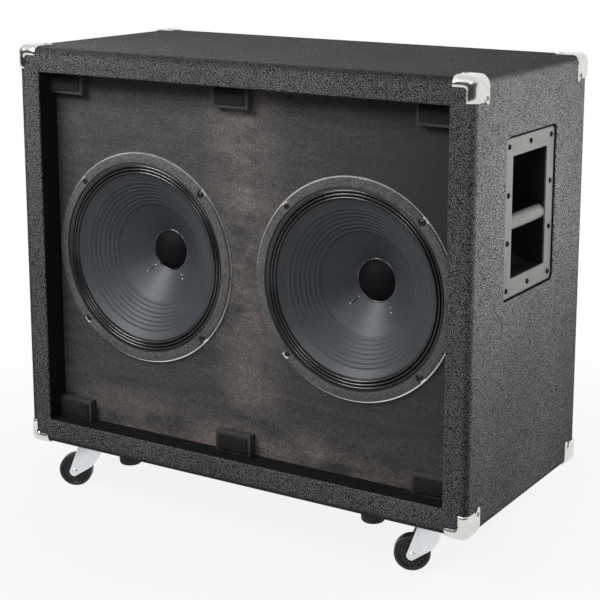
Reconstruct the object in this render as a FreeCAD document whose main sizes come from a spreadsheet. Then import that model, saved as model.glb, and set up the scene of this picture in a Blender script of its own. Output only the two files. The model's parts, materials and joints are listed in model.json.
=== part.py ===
"""Guitar speaker cabinet: a covered plywood box on swivel casters with two 12 inch speakers.

Frame: +X right seen from the front, +Y to the back, +Z up, millimetres.
Origin: on the floor, under the middle of the box.
"""
import FreeCAD, Part
import math
import os
from types import SimpleNamespace

import Sketcher

os.makedirs("parts", exist_ok=True)

SIZES = {
    # Box, outside the covering
    "cab_width": 740.0,
    "cab_height": 600.0,
    "cab_depth": 356.0,
    "ride_height": 72.0,
    "edge_radius": 9.0,
    "panel_thickness": 18.0,
    "covering_thickness": 0.8,
    "glue_gap": 0.1,
    # Front frame, baffle and back
    "front_band": 36.0,
    "baffle_recess": 38.0,
    "baffle_thickness": 18.0,
    "baffle_play": 0.4,
    "back_recess": 20.0,
    "back_thickness": 18.0,
    "cleat_width": 18.0,
    "brace_width": 44.0,
    "back_screw_inset": 9.0,
    # Grille fixing blocks and their pads
    "block_width": 60.0,
    "block_height": 32.0,
    "block_depth": 13.0,
    "block_middle_offset": -14.0,
    "pad_width": 50.0,
    "pad_height": 22.0,
    "pad_thickness": 2.0,
    # Corner caps
    "cap_thickness": 1.2,
    "cap_gap": 0.2,
    "cap_leg": 32.0,
    "cap_front_width": 12.0,
    "cap_side_width": 22.0,
    "cap_ear_reach": 37.0,
    "cap_ear_drop": 4.0,
    "cap_ear_taper": 5.0,
    "cap_notch": 4.0,
    "cap_inner_round": 5.0,
    "cap_tip_round": 3.0,
    "cap_screw_along": 29.0,
    "cap_screw_across": 27.5,
    # Recessed handles
    "handle_width": 153.6,
    "handle_height": 212.8,
    "handle_plate": 2.5,
    "handle_recess": 3.5,
    "handle_gap": 3.4,
    "handle_corner": 6.0,
    "handle_rim_side": 22.4,
    "handle_rim_end": 24.2,
    "handle_rise": 104.5,
    "handle_forward": 1.8,
    "handle_screw_inset_y": 10.0,
    "handle_screw_inset_z": 10.5,
    "dish_depth": 60.0,
    "dish_wall": 2.5,
    "dish_corner": 46.0,
    "dish_play": 1.0,
    "bar_radius": 10.3,
    "bar_drop": 10.0,
    "bar_set_back": 9.0,
    # Rubber feet
    "foot_radius": 18.5,
    "foot_taper": 2.0,
    "foot_height": 20.0,
    "foot_edge": 4.0,
    "foot_inset_x": 160.0,
    "foot_inset_y": 38.0,
    "foot_bore_radius": 6.5,
    "foot_bore_depth": 9.0,
    # Casters
    "caster_inset_x": 77.0,
    "caster_inset_y": 40.0,
    "caster_plate_width": 70.0,
    "caster_plate_depth": 50.0,
    "caster_plate_thickness": 2.5,
    "caster_plate_corner": 6.0,
    "caster_hole_across": 54.0,
    "caster_hole_along": 35.0,
    "race_radius": 17.0,
    "race_height": 3.5,
    "kingpin_radius": 5.0,
    "kingpin_head": 8.0,
    "kingpin_head_height": 2.4,
    "caster_gap": 0.3,
    "running_clearance": 0.05,
    "fork_sheet": 2.5,
    "fork_nose": 6.0,
    "fork_boss": 8.0,
    "caster_trail": 20.0,
    "caster_heading": 27.0,
    "wheel_radius": 25.0,
    "wheel_width": 18.0,
    "wheel_hub_radius": 9.0,
    "wheel_hub_width": 20.8,
    "wheel_web_radius": 19.0,
    "wheel_recess": 2.5,
    "wheel_edge": 3.0,
    "axle_radius": 3.0,
    "axle_head_radius": 4.6,
    "axle_head": 1.8,
    # Speakers, heights measured from the baffle front
    "speaker_gap": 42.8,
    "speaker_edge": 2.6,
    "cutout_lip": 14.0,
    "flange_thickness": 1.2,
    "gasket_thickness": 3.3,
    "gasket_edge": 2.0,
    "gasket_width": 12.5,
    "bolt_inset": 7.5,
    "bolt_radius": 2.4,
    "bolt_head_radius": 4.6,
    "bolt_head_height": 3.6,
    "bolt_length": 18.0,
    "bolt_play": 0.3,
    "notch_radius": 5.2,
    "rim_inset": 17.4,
    "rim_depth": 13.5,
    "shoulder_width": 12.0,
    "landing_radius": 66.0,
    "landing_depth": 74.38,
    "cup_radius": 56.0,
    "basket_depth": 86.38,
    "cup_hole_radius": 34.0,
    "basket_wall": 1.2,
    "window_margin": 8.0,
    "window_angle": 31.0,
    "window_count": 8.0,
    "window_turn": 22.5,
    "surround_width": 18.5,
    "cone_edge_depth": 0.5,
    "cone_depth": 69.0,
    "cone_wall": 1.4,
    "rib_edge": 13.0,
    "rib_pitch": 5.6,
    "rib_width": 3.2,
    "rib_height": 0.9,
    "rib_count": 7.0,
    "surround_gap": 0.1,
    "roll_height": 3.2,
    "roll_valley": 0.4,
    "roll_count": 3.0,
    "surround_wall": 0.8,
    "dome_radius": 30.0,
    "dome_height": 12.0,
    "dome_wall": 1.0,
    "former_radius": 22.2,
    "former_wall": 0.6,
    "former_bottom": 100.88,
    "former_stand": 3.0,
    "coil_thickness": 0.8,
    "coil_foot": 5.0,
    "coil_length": 13.0,
    "pole_clearance": 0.7,
    "plate_clearance": 0.6,
    "pole_vent_radius": 9.0,
    "front_plate_radius": 68.0,
    "front_plate_thickness": 6.0,
    "magnet_radius": 78.0,
    "magnet_bore": 40.0,
    "magnet_thickness": 20.0,
    "back_plate_thickness": 6.5,
    "spider_wall": 0.8,
    "spider_wave": 1.0,
    "spider_waves": 4.0,
    "terminal_width": 22.0,
    "terminal_length": 16.0,
    "terminal_thickness": 2.0,
    "lug_length": 9.0,
    "lug_thickness": 0.8,
    "lug_width": 5.0,
    "lead_radius": 0.7,
    "lead_eyelet_radius": 43.0,
    "lead_eyelet_angle": 33.0,
    "lead_drop": 8.0,
    # Jack dish in the back panel
    "jack_flange_width": 130.0,
    "jack_flange_height": 100.0,
    "jack_flange_thickness": 2.0,
    "jack_cup_width": 100.0,
    "jack_cup_height": 70.0,
    "jack_cup_depth": 26.0,
    "jack_wall": 2.0,
    "jack_corner": 6.0,
    "jack_drop": 110.0,
    "jack_spacing": 50.0,
    "jack_bore": 3.25,
    "jack_bushing": 5.5,
    "jack_nut": 8.0,
    "jack_nut_height": 2.5,
    "jack_bushing_reach": 5.0,
    "jack_body_width": 16.0,
    "jack_body_length": 22.0,
    "jack_bore_length": 25.0,
    "wire_radius": 2.0,
    "wire_rise": 25.0,
    # Wood screws
    "screw_radius": 1.7,
    "screw_head_radius": 3.8,
    "screw_head_height": 2.0,
    "screw_length": 15.0,
    "screw_hole_play": 0.3,
}

doc = FreeCAD.newDocument("speaker_cabinet")
sheet = doc.addObject("Spreadsheet::Sheet", "Sizes")
for row, (alias, value) in enumerate(SIZES.items(), start=1):
    sheet.set(f"A{row}", alias)
    sheet.set(f"B{row}", str(value))
    sheet.setAlias(f"B{row}", alias)
doc.recompute()


class Size:
    """A number together with the sheet expression that it comes from."""

    def __init__(self, number, text):
        self.number = number
        self.text = text

    def __add__(self, other):
        other = as_size(other)
        return Size(self.number + other.number, f"({self.text} + {other.text})")

    def __sub__(self, other):
        other = as_size(other)
        return Size(self.number - other.number, f"({self.text} - {other.text})")

    def __mul__(self, other):
        other = as_size(other)
        return Size(self.number * other.number, f"({self.text} * {other.text})")

    def __truediv__(self, other):
        other = as_size(other)
        return Size(self.number / other.number, f"({self.text} / {other.text})")

    def __radd__(self, other):
        return as_size(other) + self

    def __rsub__(self, other):
        return as_size(other) - self

    def __rmul__(self, other):
        return as_size(other) * self

    def __neg__(self):
        return Size(-self.number, f"(0 - {self.text})")


def as_size(value):
    if isinstance(value, Size):
        return value
    return Size(float(value), repr(float(value)))


def number(value):
    return as_size(value).number


def cosine(degrees):
    degrees = as_size(degrees)
    return Size(math.cos(math.radians(degrees.number)), f"cos({degrees.text} * 1 deg)")


def sine(degrees):
    degrees = as_size(degrees)
    return Size(math.sin(math.radians(degrees.number)), f"sin({degrees.text} * 1 deg)")


s = SimpleNamespace(**{name: Size(float(sheet.get(name)), f"Sizes.{name}") for name in SIZES})
nodes = []


# Document helpers

def bind(obj, prop, value):
    """Tie a property to the sheet."""
    obj.setExpression(prop, as_size(value).text)


def place(obj, x=0, y=0, z=0, axis=None, angle=0):
    """Put an object at sheet-driven coordinates, turned about an axis by a sheet-driven angle."""
    if axis:
        obj.Placement = spot(0, 0, 0, axis, angle)
    for name, value in zip("xyz", (x, y, z)):
        bind(obj, f"Placement.Base.{name}", value)
    return obj


def node(obj, label):
    """Name a finished sub-part."""
    obj.Label = label
    nodes.append(obj)
    return obj


def box(name, low, high):
    """Box between two corners."""
    obj = doc.addObject("Part::Box", name)
    for prop, a, b in zip(("Length", "Width", "Height"), low, high):
        bind(obj, prop, as_size(b) - a)
    return place(obj, *low)


def cylinder(name, radius, length, base, axis="z"):
    """Cylinder from a base point along +x, +y or +z."""
    obj = doc.addObject("Part::Cylinder", name)
    bind(obj, "Radius", radius)
    bind(obj, "Height", length)
    turns = {"x": ((0, 1, 0), 90), "y": ((1, 0, 0), -90), "z": (None, 0)}
    return place(obj, *base, *turns[axis])


def joined(name, parts):
    obj = doc.addObject("Part::MultiFuse", name)
    obj.Shapes = parts
    return obj


def cut(name, base, tools):
    """Base less the tools."""
    obj = doc.addObject("Part::Cut", name)
    obj.Base = base
    obj.Tool = tools[0] if len(tools) == 1 else joined(name + "_tools", tools)
    return obj


def common(name, first, second):
    obj = doc.addObject("Part::Common", name)
    obj.Base = first
    obj.Tool = second
    return obj


def compound(name, parts):
    obj = doc.addObject("Part::Compound", name)
    obj.Links = parts
    return obj


def copies(name, master, spots):
    """Separate copies of one piece, each at its own placement."""
    doc.recompute()
    obj = doc.addObject("Part::Feature", name)
    obj.Shape = Part.makeCompound([master.Shape.transformed(spot.toMatrix(), True) for spot in spots])
    return obj


def spot(x, y, z, axis=(0, 0, 1), angle=0):
    """Placement at given coordinates, turned about an axis."""
    turn = FreeCAD.Rotation(FreeCAD.Vector(*axis), number(angle))
    return FreeCAD.Placement(FreeCAD.Vector(number(x), number(y), number(z)), turn)


def body(name):
    return doc.addObject("PartDesign::Body", name)


def origin_plane(owner, role):
    return next(item for item in owner.Origin.OriginFeatures if item.Role == role)


def arc_geometry(start, end, radius):
    """Short arc from start to end; a positive radius turns left, a negative one right."""
    chord = end - start
    left = FreeCAD.Vector(-chord.y, chord.x, 0).normalize()
    side = 1 if radius > 0 else -1
    rise = abs(radius) - math.sqrt(radius ** 2 - chord.Length ** 2 / 4)
    middle = (start + end) * 0.5 - left * side * rise
    return Part.Arc(start, middle, end) if side > 0 else Part.Arc(end, middle, start)


def outline(owner, name, role, points):
    """Closed sketch through points (across, up[, radius of the arc that leaves the point])."""
    sketch = owner.newObject("Sketcher::SketchObject", name)
    sketch.AttachmentSupport = [(origin_plane(owner, role), "")]
    sketch.MapMode = "FlatFace"
    spots = [FreeCAD.Vector(number(point[0]), number(point[1]), 0) for point in points]
    geometry, ends, rules, ties = [], [], [], []
    for i, point in enumerate(points):
        start, end = spots[i], spots[(i + 1) % len(points)]
        radius = point[2] if len(point) == 3 else None
        if radius is None:
            geometry.append(Part.LineSegment(start, end))
            ends.append((1, 2))
            continue
        geometry.append(arc_geometry(start, end, number(radius)))
        ends.append((1, 2) if number(radius) > 0 else (2, 1))
    sketch.addGeometry(geometry, False)
    for i, point in enumerate(points):
        following = (i + 1) % len(points)
        rules.append(Sketcher.Constraint("Coincident", i, ends[i][1], following, ends[following][0]))
        for kind, axis_line, value in (("DistanceX", -2, point[0]), ("DistanceY", -1, point[1])):
            if number(value) == 0:
                rules.append(Sketcher.Constraint("PointOnObject", i, ends[i][0], axis_line))
                continue
            ties.append((len(rules), as_size(value).text))
            rules.append(Sketcher.Constraint(kind, -1, 1, i, ends[i][0], number(value)))
        if len(point) == 3:
            radius = point[2] if number(point[2]) > 0 else -point[2]
            ties.append((len(rules), as_size(radius).text))
            rules.append(Sketcher.Constraint("Radius", i, number(radius)))
    sketch.addConstraint(rules)
    for index, text in ties:
        sketch.setExpression(f"Constraints[{index}]", text)
    return sketch


def turned(name, points):
    """Piece turned about its own z axis from a profile of (radius, height) points."""
    owner = body(name)
    sketch = outline(owner, name + "_profile", "XZ_Plane", points)
    turn = owner.newObject("PartDesign::Revolution", name + "_turn")
    turn.Profile = sketch
    turn.ReferenceAxis = (sketch, ["V_Axis"])
    turn.Angle = 360
    return owner


def pad(owner, name, sketch, length, symmetric=False, backwards=False):
    feature = owner.newObject("PartDesign::Pad", name)
    feature.Profile = sketch
    bind(feature, "Length", length)
    feature.SideType = "Symmetric" if symmetric else "One side"
    feature.Reversed = backwards
    return feature


def pocket_through(owner, name, sketch):
    """Pocket through the whole piece, both ways from the sketch."""
    feature = owner.newObject("PartDesign::Pocket", name)
    feature.Profile = sketch
    feature.SideType = "Symmetric"
    feature.Type = "ThroughAll"
    return feature


def ring_pattern(owner, name, feature, sketch, count):
    """Repeat a feature about the sketch's normal through the origin."""
    doc.recompute()
    pattern = owner.newObject("PartDesign::PolarPattern", name)
    pattern.Originals = [feature]
    pattern.Axis = (sketch, ["N_Axis"])
    pattern.Angle = 360
    bind(pattern, "Occurrences", count)
    owner.Tip = pattern
    return pattern


def slab(name, role, points, length, symmetric=True, backwards=False):
    """Flat outline pushed out of its plane, both ways or one way."""
    owner = body(name)
    pad(owner, name + "_pad", outline(owner, name + "_outline", role, points), length, symmetric, backwards)
    return owner


def rectangle(half_width, half_height):
    return [
        (-half_width, -half_height),
        (half_width, -half_height),
        (half_width, half_height),
        (-half_width, half_height),
    ]


def rounded_rectangle(half_width, half_height, corner):
    return [
        (corner - half_width, -half_height),
        (half_width - corner, -half_height, corner),
        (half_width, corner - half_height),
        (half_width, half_height - corner, corner),
        (half_width - corner, half_height),
        (corner - half_width, half_height, corner),
        (-half_width, half_height - corner),
        (-half_width, corner - half_height, corner),
    ]


def tube(name, points, radius):
    """Round tube along straight runs joined by tangent arcs."""
    corners = [FreeCAD.Vector(*(number(value) for value in point)) for point in points]
    edges = []
    last = corners[0]
    for before, corner, after in zip(corners, corners[1:], corners[2:]):
        arrive = (corner - before).normalize()
        leave = (after - corner).normalize()
        reach = 0.45 * min((corner - before).Length, (after - corner).Length)
        turn = arrive.getAngle(leave)
        start, end = corner - arrive * reach, corner + leave * reach
        bend_radius = reach / math.tan(turn / 2)
        inward = (leave - arrive).normalize()
        middle = corner + inward * (bend_radius / math.cos(turn / 2) - bend_radius)
        edges += [Part.LineSegment(last, start).toShape(), Part.Arc(start, middle, end).toShape()]
        last = end
    edges.append(Part.LineSegment(last, corners[-1]).toShape())
    path = Part.Wire(edges)
    heading = corners[1] - corners[0]
    section = Part.Wire(Part.makeCircle(number(radius), corners[0], heading))
    obj = doc.addObject("Part::Feature", name)
    obj.Shape = path.makePipeShell([section], True, True)
    return obj


# Shared places

half_width = s.cab_width / 2
half_depth = s.cab_depth / 2
floor_side = s.ride_height
ceiling = s.ride_height + s.cab_height
middle_height = s.ride_height + s.cab_height / 2
wood_inset = s.covering_thickness + s.glue_gap
wall = wood_inset + s.panel_thickness
opening_half_width = half_width - s.front_band
opening_bottom = floor_side + s.front_band
opening_top = ceiling - s.front_band
baffle_front = s.baffle_recess - half_depth
baffle_back = baffle_front + s.baffle_thickness
back_outside = half_depth - s.back_recess
back_inside = back_outside - s.back_thickness
inner_half_width = half_width - wall
inner_bottom = floor_side + wall
inner_top = ceiling - wall
beyond = s.edge_radius + s.panel_thickness
pocket_depth = s.handle_recess + s.handle_plate
handle_y = -s.handle_forward
handle_z = middle_height + s.handle_rise
handle_open_width = s.handle_width - 2 * s.handle_rim_side
handle_open_height = s.handle_height - 2 * s.handle_rim_end
speaker_radius = (2 * opening_half_width - 2 * s.speaker_edge - s.speaker_gap) / 4
speaker_offset = speaker_radius + s.speaker_gap / 2
cutout_radius = speaker_radius - s.cutout_lip
bolt_circle = speaker_radius - s.bolt_inset


# Box: rounded block, panels, covering

def rounded_block(name, inset):
    """Block of the cabinet's size, moved in by an inset, with every edge rounded."""
    owner = body(name)
    sketch = outline(owner, name + "_plan", "XY_Plane", rectangle(half_width - inset, half_depth - inset))
    block = pad(owner, name + "_pad", sketch, s.cab_height - 2 * as_size(inset))
    rounding = owner.newObject("PartDesign::Fillet", name + "_rounding")
    rounding.Base = (block, [""])
    rounding.UseAllEdges = True
    bind(rounding, "Radius", s.edge_radius - inset)
    return place(owner, 0, 0, floor_side + inset)


def handle_window(name, side, play):
    """Straight hole through a side for the handle dish."""
    half_y = handle_open_width / 2 + s.dish_wall + play
    half_z = handle_open_height / 2 + s.dish_wall + play
    start = inner_half_width - s.glue_gap if side > 0 else -half_width - s.glue_gap
    depth = wall + 2 * s.glue_gap
    low = (start, handle_y - half_y, handle_z - half_z)
    high = (start + depth, handle_y + half_y, handle_z + half_z)
    return box(name, low, high)


def handle_pocket(name, side, grow):
    """Shallow pocket in a side that the handle plate sits in, grown by an amount."""
    room = s.handle_gap + grow
    sides = rounded_rectangle(s.handle_width / 2 + room, s.handle_height / 2 + room, s.handle_corner + room)
    start = half_width - pocket_depth - grow if side > 0 else -half_width - s.glue_gap
    block = slab(name, "YZ_Plane", sides, pocket_depth + grow + s.glue_gap, False)
    return place(block, start, handle_y, handle_z)


def handle_pockets(name, grow):
    """Left and right pocket."""
    return [handle_pocket(name + "_left", -1, grow), handle_pocket(name + "_right", 1, grow)]


wood = rounded_block("wood_block", wood_inset)
outer = rounded_block("covering_outside", as_size(0))
inner = rounded_block("covering_inside", s.covering_thickness)
windows = [
    handle_window("handle_window_left", -1, s.dish_play),
    handle_window("handle_window_right", 1, s.dish_play),
]
wood_pockets = handle_pockets("wood_pocket", wood_inset)


def panel(label, low, high, tools=()):
    """Panel cut from the rounded block between two corners."""
    board = common(label + "_board", wood, box(label + "_region", low, high))
    return node(cut(label, board, list(tools)) if tools else board, label)


panel("top_panel", (-half_width, -half_depth, inner_top), (half_width, half_depth, ceiling))
panel("bottom_panel", (-half_width, -half_depth, floor_side), (half_width, half_depth, inner_bottom))
panel("left_panel", (-half_width, -half_depth, inner_bottom),
      (-inner_half_width, half_depth, inner_top), windows[:1] + wood_pockets[:1])
panel("right_panel", (inner_half_width, -half_depth, inner_bottom),
      (half_width, half_depth, inner_top), windows[1:] + wood_pockets[1:])

batten_edge = opening_half_width + wood_inset
batten_bottom = opening_bottom - wood_inset
batten_top = opening_top + wood_inset
batten_front = wood_inset - half_depth
inner_room = (inner_half_width, inner_bottom, inner_top)


def board_ring(label, outside, inside, front, back):
    """Four boards round an opening; outside and inside are each (half width, bottom, top)."""
    far_x, far_low, far_high = outside
    near_x, near_low, near_high = inside
    return node(compound(label, [
        box(label + "_top", (-far_x, front, near_high), (far_x, back, far_high)),
        box(label + "_bottom", (-far_x, front, far_low), (far_x, back, near_low)),
        box(label + "_left", (-far_x, front, near_low), (-near_x, back, near_high)),
        box(label + "_right", (near_x, front, near_low), (far_x, back, near_high)),
    ]), label)


board_ring("front_battens", inner_room, (batten_edge, batten_bottom, batten_top), batten_front, baffle_front)


def opening_block(name, grow, front):
    """Block that fills the front recess, or the back one, grown by an amount."""
    if front:
        low = (-opening_half_width - grow, -half_depth - beyond, opening_bottom - grow)
        high = (opening_half_width + grow, baffle_front, opening_top + grow)
    else:
        low = (-inner_half_width + wood_inset - grow, back_outside, inner_bottom + wood_inset - grow)
        high = (inner_half_width - wood_inset + grow, half_depth + beyond, inner_top - wood_inset + grow)
    return box(name, low, high)


lining = s.covering_thickness
covered = cut("covered_block", outer, [
    opening_block("front_space", 0, True),
    opening_block("back_space", 0, False),
] + handle_pockets("handle_space", as_size(0)))
filled = cut("filled_block", inner, [
    opening_block("front_lining_space", lining, True),
    opening_block("back_lining_space", lining, False),
] + handle_pockets("handle_lining_space", lining))
node(cut("vinyl_covering", covered, [filled] + windows), "vinyl_covering")

# Baffle, brace, back panel and its cleats

speaker_spots = {"left": -speaker_offset, "right": speaker_offset}
bolt_angles = (45, 135, 225, 315)


def bolt_spots():
    """Places of the speaker bolts on the baffle, as (x, z)."""
    for x in speaker_spots.values():
        for angle in bolt_angles:
            up = bolt_circle * sine(angle)
            yield (x + bolt_circle * cosine(angle), middle_height + up)


baffle_edge = inner_half_width - s.baffle_play
baffle_board = box("baffle_board", (-baffle_edge, baffle_front, inner_bottom + s.baffle_play),
                   (baffle_edge, baffle_back, inner_top - s.baffle_play))
baffle_holes = [cylinder(f"cutout_{side}", cutout_radius, 2 * s.baffle_thickness,
                         (x, baffle_front - s.baffle_thickness / 2, middle_height), "y")
                for side, x in speaker_spots.items()]
baffle_holes += [cylinder(f"bolt_hole_{i}", s.bolt_radius + s.bolt_play, 2 * s.baffle_thickness,
                          (x, baffle_front - s.baffle_thickness / 2, z), "y")
                 for i, (x, z) in enumerate(bolt_spots())]
node(cut("baffle", baffle_board, baffle_holes), "baffle")

half_brace = s.brace_width / 2
node(box("centre_brace", (-half_brace, baffle_back, middle_height - half_brace),
         (half_brace, back_inside, middle_height + half_brace)), "centre_brace")

cleat_front = back_inside - s.cleat_width
cleat_x = inner_half_width - s.cleat_width
cleat_low = inner_bottom + s.cleat_width
cleat_high = inner_top - s.cleat_width
board_ring("rear_cleats", inner_room, (cleat_x, cleat_low, cleat_high), cleat_front, back_inside)

jack_height = middle_height - s.jack_drop
cup_half_x = s.jack_cup_width / 2 + s.jack_wall
cup_half_z = s.jack_cup_height / 2 + s.jack_wall
back_edge = inner_half_width - s.baffle_play
back_board = box("back_board", (-back_edge, back_inside, inner_bottom + s.baffle_play),
                 (back_edge, back_outside, inner_top - s.baffle_play))
jack_hole_x = cup_half_x + s.dish_play
jack_hole_z = cup_half_z + s.dish_play
jack_hole = box("jack_hole", (-jack_hole_x, back_inside - s.dish_play, jack_height - jack_hole_z),
                (jack_hole_x, back_outside + s.dish_play, jack_height + jack_hole_z))
node(cut("back_panel", back_board, [jack_hole]), "back_panel")


# Screws

def screw(name, radius, length, head_radius, head_height):
    """Round-head screw along z, with its seat at zero and its shank below."""
    rise = as_size(head_height)
    crown = (head_radius * head_radius + rise * rise) / (2 * rise)
    return turned(name, [(0, -length), (radius, -length), (radius, 0), (head_radius, 0, crown), (0, rise)])


wood_screw = screw("wood_screw", s.screw_radius, s.screw_length, s.screw_head_radius, s.screw_head_height)
seat_turns = {"+x": ((0, 1, 0), 90), "-x": ((0, 1, 0), -90), "+y": ((1, 0, 0), -90), "-y": ((1, 0, 0), 90),
              "+z": ((0, 0, 1), 0), "-z": ((1, 0, 0), 180)}


def seated(x, y, z, facing):
    """Placement of a screw whose head faces a given way."""
    return spot(x, y, z, *seat_turns[facing])


back_screw_x = inner_half_width - s.back_screw_inset
back_screw_low = inner_bottom + s.back_screw_inset
back_screw_high = inner_top - s.back_screw_inset
back_rows = [(x, z) for z in (back_screw_low, back_screw_high)
             for x in (-back_screw_x, -back_screw_x / 3, back_screw_x / 3, back_screw_x)]
back_rows += [(x, middle_height) for x in (-back_screw_x, back_screw_x)]
long_screw = screw("long_screw", s.screw_radius, s.back_thickness + s.screw_length / 2,
                   s.screw_head_radius, s.screw_head_height)
node(copies("back_panel_screws", long_screw, [seated(x, back_outside, z, "+y") for x, z in back_rows]),
     "back_panel_screws")

# Grille blocks and hook-and-loop pads

block_front = baffle_front - s.block_depth
block_left = s.glue_gap - opening_half_width
block_starts = {"left": block_left, "middle": s.block_middle_offset - s.block_width / 2,
                "right": -block_left - s.block_width}
block_levels = {"top": opening_top - s.block_height - s.glue_gap, "bottom": opening_bottom + s.glue_gap}
blocks = []
pads = []
for level, z in block_levels.items():
    for place_name, x in block_starts.items():
        tag = f"{level}_{place_name}"
        blocks.append(box(f"block_{tag}", (x, block_front, z),
                          (x + s.block_width, baffle_front, z + s.block_height)))
        pad_x = x + (s.block_width - s.pad_width) / 2
        pad_z = z + (s.block_height - s.pad_height) / 2
        pads.append(box(f"pad_{tag}", (pad_x, block_front - s.pad_thickness, pad_z),
                        (pad_x + s.pad_width, block_front, pad_z + s.pad_height)))
node(compound("grille_blocks", blocks), "grille_blocks")
node(compound("grille_pads", pads), "grille_pads")

# Corner caps: a skin over one rounded corner, cut to legs and two screw ears, then mirrored

cap_proud = s.cap_gap + s.cap_thickness
cap_inner = rounded_block("cap_inside", -s.cap_gap)
cap_outer = rounded_block("cap_outside", -cap_proud)
cap_skin = cut("cap_skin", cap_outer, [cap_inner])
cap_reach = s.edge_radius + 2 * cap_proud


def cap_slab(name, role, points):
    """Flat region of the cap, drawn from the corner inwards and pushed through the skin."""
    return place(slab(name, role, points, 2 * cap_reach), half_width, -half_depth, ceiling)


def cap_hole(name, base, axis):
    """Screw hole through one ear."""
    start = [value - cap_reach if letter == axis else value for letter, value in zip("xyz", base)]
    return cylinder(name, s.screw_radius + s.screw_hole_play, 2 * cap_reach, start, axis)


clear = 2 * cap_proud
ear_end = s.cap_leg + s.cap_ear_drop
ear_start = s.cap_ear_reach - s.cap_ear_taper
front_legs = [
    (-clear, -clear),
    (s.cap_leg, -clear),
    (s.cap_leg, s.cap_front_width - s.cap_tip_round, s.cap_tip_round),
    (s.cap_leg - s.cap_tip_round, s.cap_front_width),
    (s.cap_front_width + s.cap_inner_round, s.cap_front_width, -s.cap_inner_round),
    (s.cap_front_width, s.cap_front_width + s.cap_inner_round),
    (s.cap_front_width, s.cap_leg - s.cap_tip_round, s.cap_tip_round),
    (s.cap_front_width - s.cap_tip_round, s.cap_leg),
    (-clear, s.cap_leg),
]
eared_side = [
    (-clear, -clear),
    (-clear, s.cap_leg),
    (s.cap_side_width, s.cap_leg),
    (s.cap_side_width, s.cap_leg - s.cap_notch),
    (ear_start, ear_end, -s.cap_ear_taper),
    (s.cap_ear_reach, ear_end - s.cap_ear_taper),
    (s.cap_ear_reach, s.cap_front_width),
    (ear_start, -clear),
]
cap_regions = joined("cap_regions", [
    cap_slab("cap_front", "XZ_Plane", [(-across, -down, *arc) for across, down, *arc in front_legs]),
    cap_slab("cap_side", "YZ_Plane", [(along, -across, *(-radius for radius in arc))
                                      for along, across, *arc in eared_side]),
    cap_slab("cap_top", "XY_Plane", [(-across, along, *arc) for along, across, *arc in eared_side]),
])
side_screw = (half_width, s.cap_screw_along - half_depth, ceiling - s.cap_screw_across)
top_screw = (half_width - s.cap_screw_across, s.cap_screw_along - half_depth, ceiling)
corner_cap = cut("corner_cap", common("cap_shape", cap_skin, cap_regions), [
    cap_hole("cap_hole_side", side_screw, "x"),
    cap_hole("cap_hole_top", top_screw, "z"),
])


def mirrored_corners(name, master):
    """The eight mirror images of a corner piece about the middle planes of the box."""
    doc.recompute()
    centre = FreeCAD.Vector(0, 0, number(middle_height))
    shapes = list(master.Shape.Solids)
    for axis in ((1, 0, 0), (0, 1, 0), (0, 0, 1)):
        shapes += [shape.mirror(centre, FreeCAD.Vector(*axis)) for shape in shapes]
    obj = doc.addObject("Part::Feature", name)
    obj.Shape = Part.makeCompound(shapes)
    return obj


node(mirrored_corners("corner_caps", corner_cap), "corner_caps")
cap_screw_pair = copies("cap_screw_pair", wood_screw, [
    seated(side_screw[0] + cap_proud, side_screw[1], side_screw[2], "+x"),
    seated(top_screw[0], top_screw[1], top_screw[2] + cap_proud, "+z"),
])
node(mirrored_corners("corner_screws", cap_screw_pair), "corner_screws")

# Recessed handles, drawn for the right side about the middle of the plate and turned round for the left

open_half_y = handle_open_width / 2
open_half_z = handle_open_height / 2
screw_side = s.handle_width / 2 - s.handle_screw_inset_y
screw_end = s.handle_height / 2 - s.handle_screw_inset_z
handle_screw_spots = [(y, z) for y in (-screw_side, screw_side)
                      for z in (-screw_end, -screw_end / 3, screw_end / 3, screw_end)]
handle_screw_spots += [(0, -screw_end), (0, screw_end)]


def dish_section(grow):
    """Section of the dish, from the plate inwards: flat lips, large rounded corners and a flat back."""
    half = open_half_z + grow
    depth = s.dish_depth + grow
    corner = s.dish_corner + grow
    return [
        (0, -half),
        (0, half),
        (corner - depth, half, corner),
        (-depth, half - corner),
        (-depth, corner - half, corner),
        (corner - depth, -half),
    ]


plate_cuts = [cylinder(f"handle_hole_{i}", s.screw_radius + s.screw_hole_play, 2 * s.handle_plate,
                       (-s.handle_plate / 2, y, z), "x")
              for i, (y, z) in enumerate(handle_screw_spots)]
plate_cuts.append(box("handle_opening", (-s.handle_plate, -open_half_y, -open_half_z),
                      (2 * s.handle_plate, open_half_y, open_half_z)))
handle_outline = rounded_rectangle(s.handle_width / 2, s.handle_height / 2, s.handle_corner)
plate_blank = slab("plate_blank", "YZ_Plane", handle_outline, s.handle_plate, False)
handle_plate = cut("handle_plate", plate_blank, plate_cuts)
handle_dish = cut("handle_dish", slab("dish_outside", "XZ_Plane", dish_section(s.dish_wall),
                                      handle_open_width + 2 * s.dish_wall),
                  [slab("dish_inside", "XZ_Plane", dish_section(as_size(0)), handle_open_width)])
handle_bar = cylinder("handle_bar", s.bar_radius, handle_open_width,
                      (-s.bar_set_back, -open_half_y, -s.bar_drop), "y")
handle_seat = half_width - pocket_depth
handle_spots = [
    spot(handle_seat, handle_y, handle_z),
    spot(-handle_seat, handle_y, handle_z, (0, 0, 1), 180),
]
node(copies("handle_plates", handle_plate, handle_spots), "handle_plates")
node(copies("handle_dishes", handle_dish, handle_spots), "handle_dishes")
node(copies("handle_bars", handle_bar, handle_spots), "handle_bars")
plate_screws = [seated(s.handle_plate, y, z, "+x") for y, z in handle_screw_spots]
handle_screw_places = [handle.multiply(seat) for handle in handle_spots for seat in plate_screws]
node(copies("handle_screws", wood_screw, handle_screw_places), "handle_screws")

# Rubber feet

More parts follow.
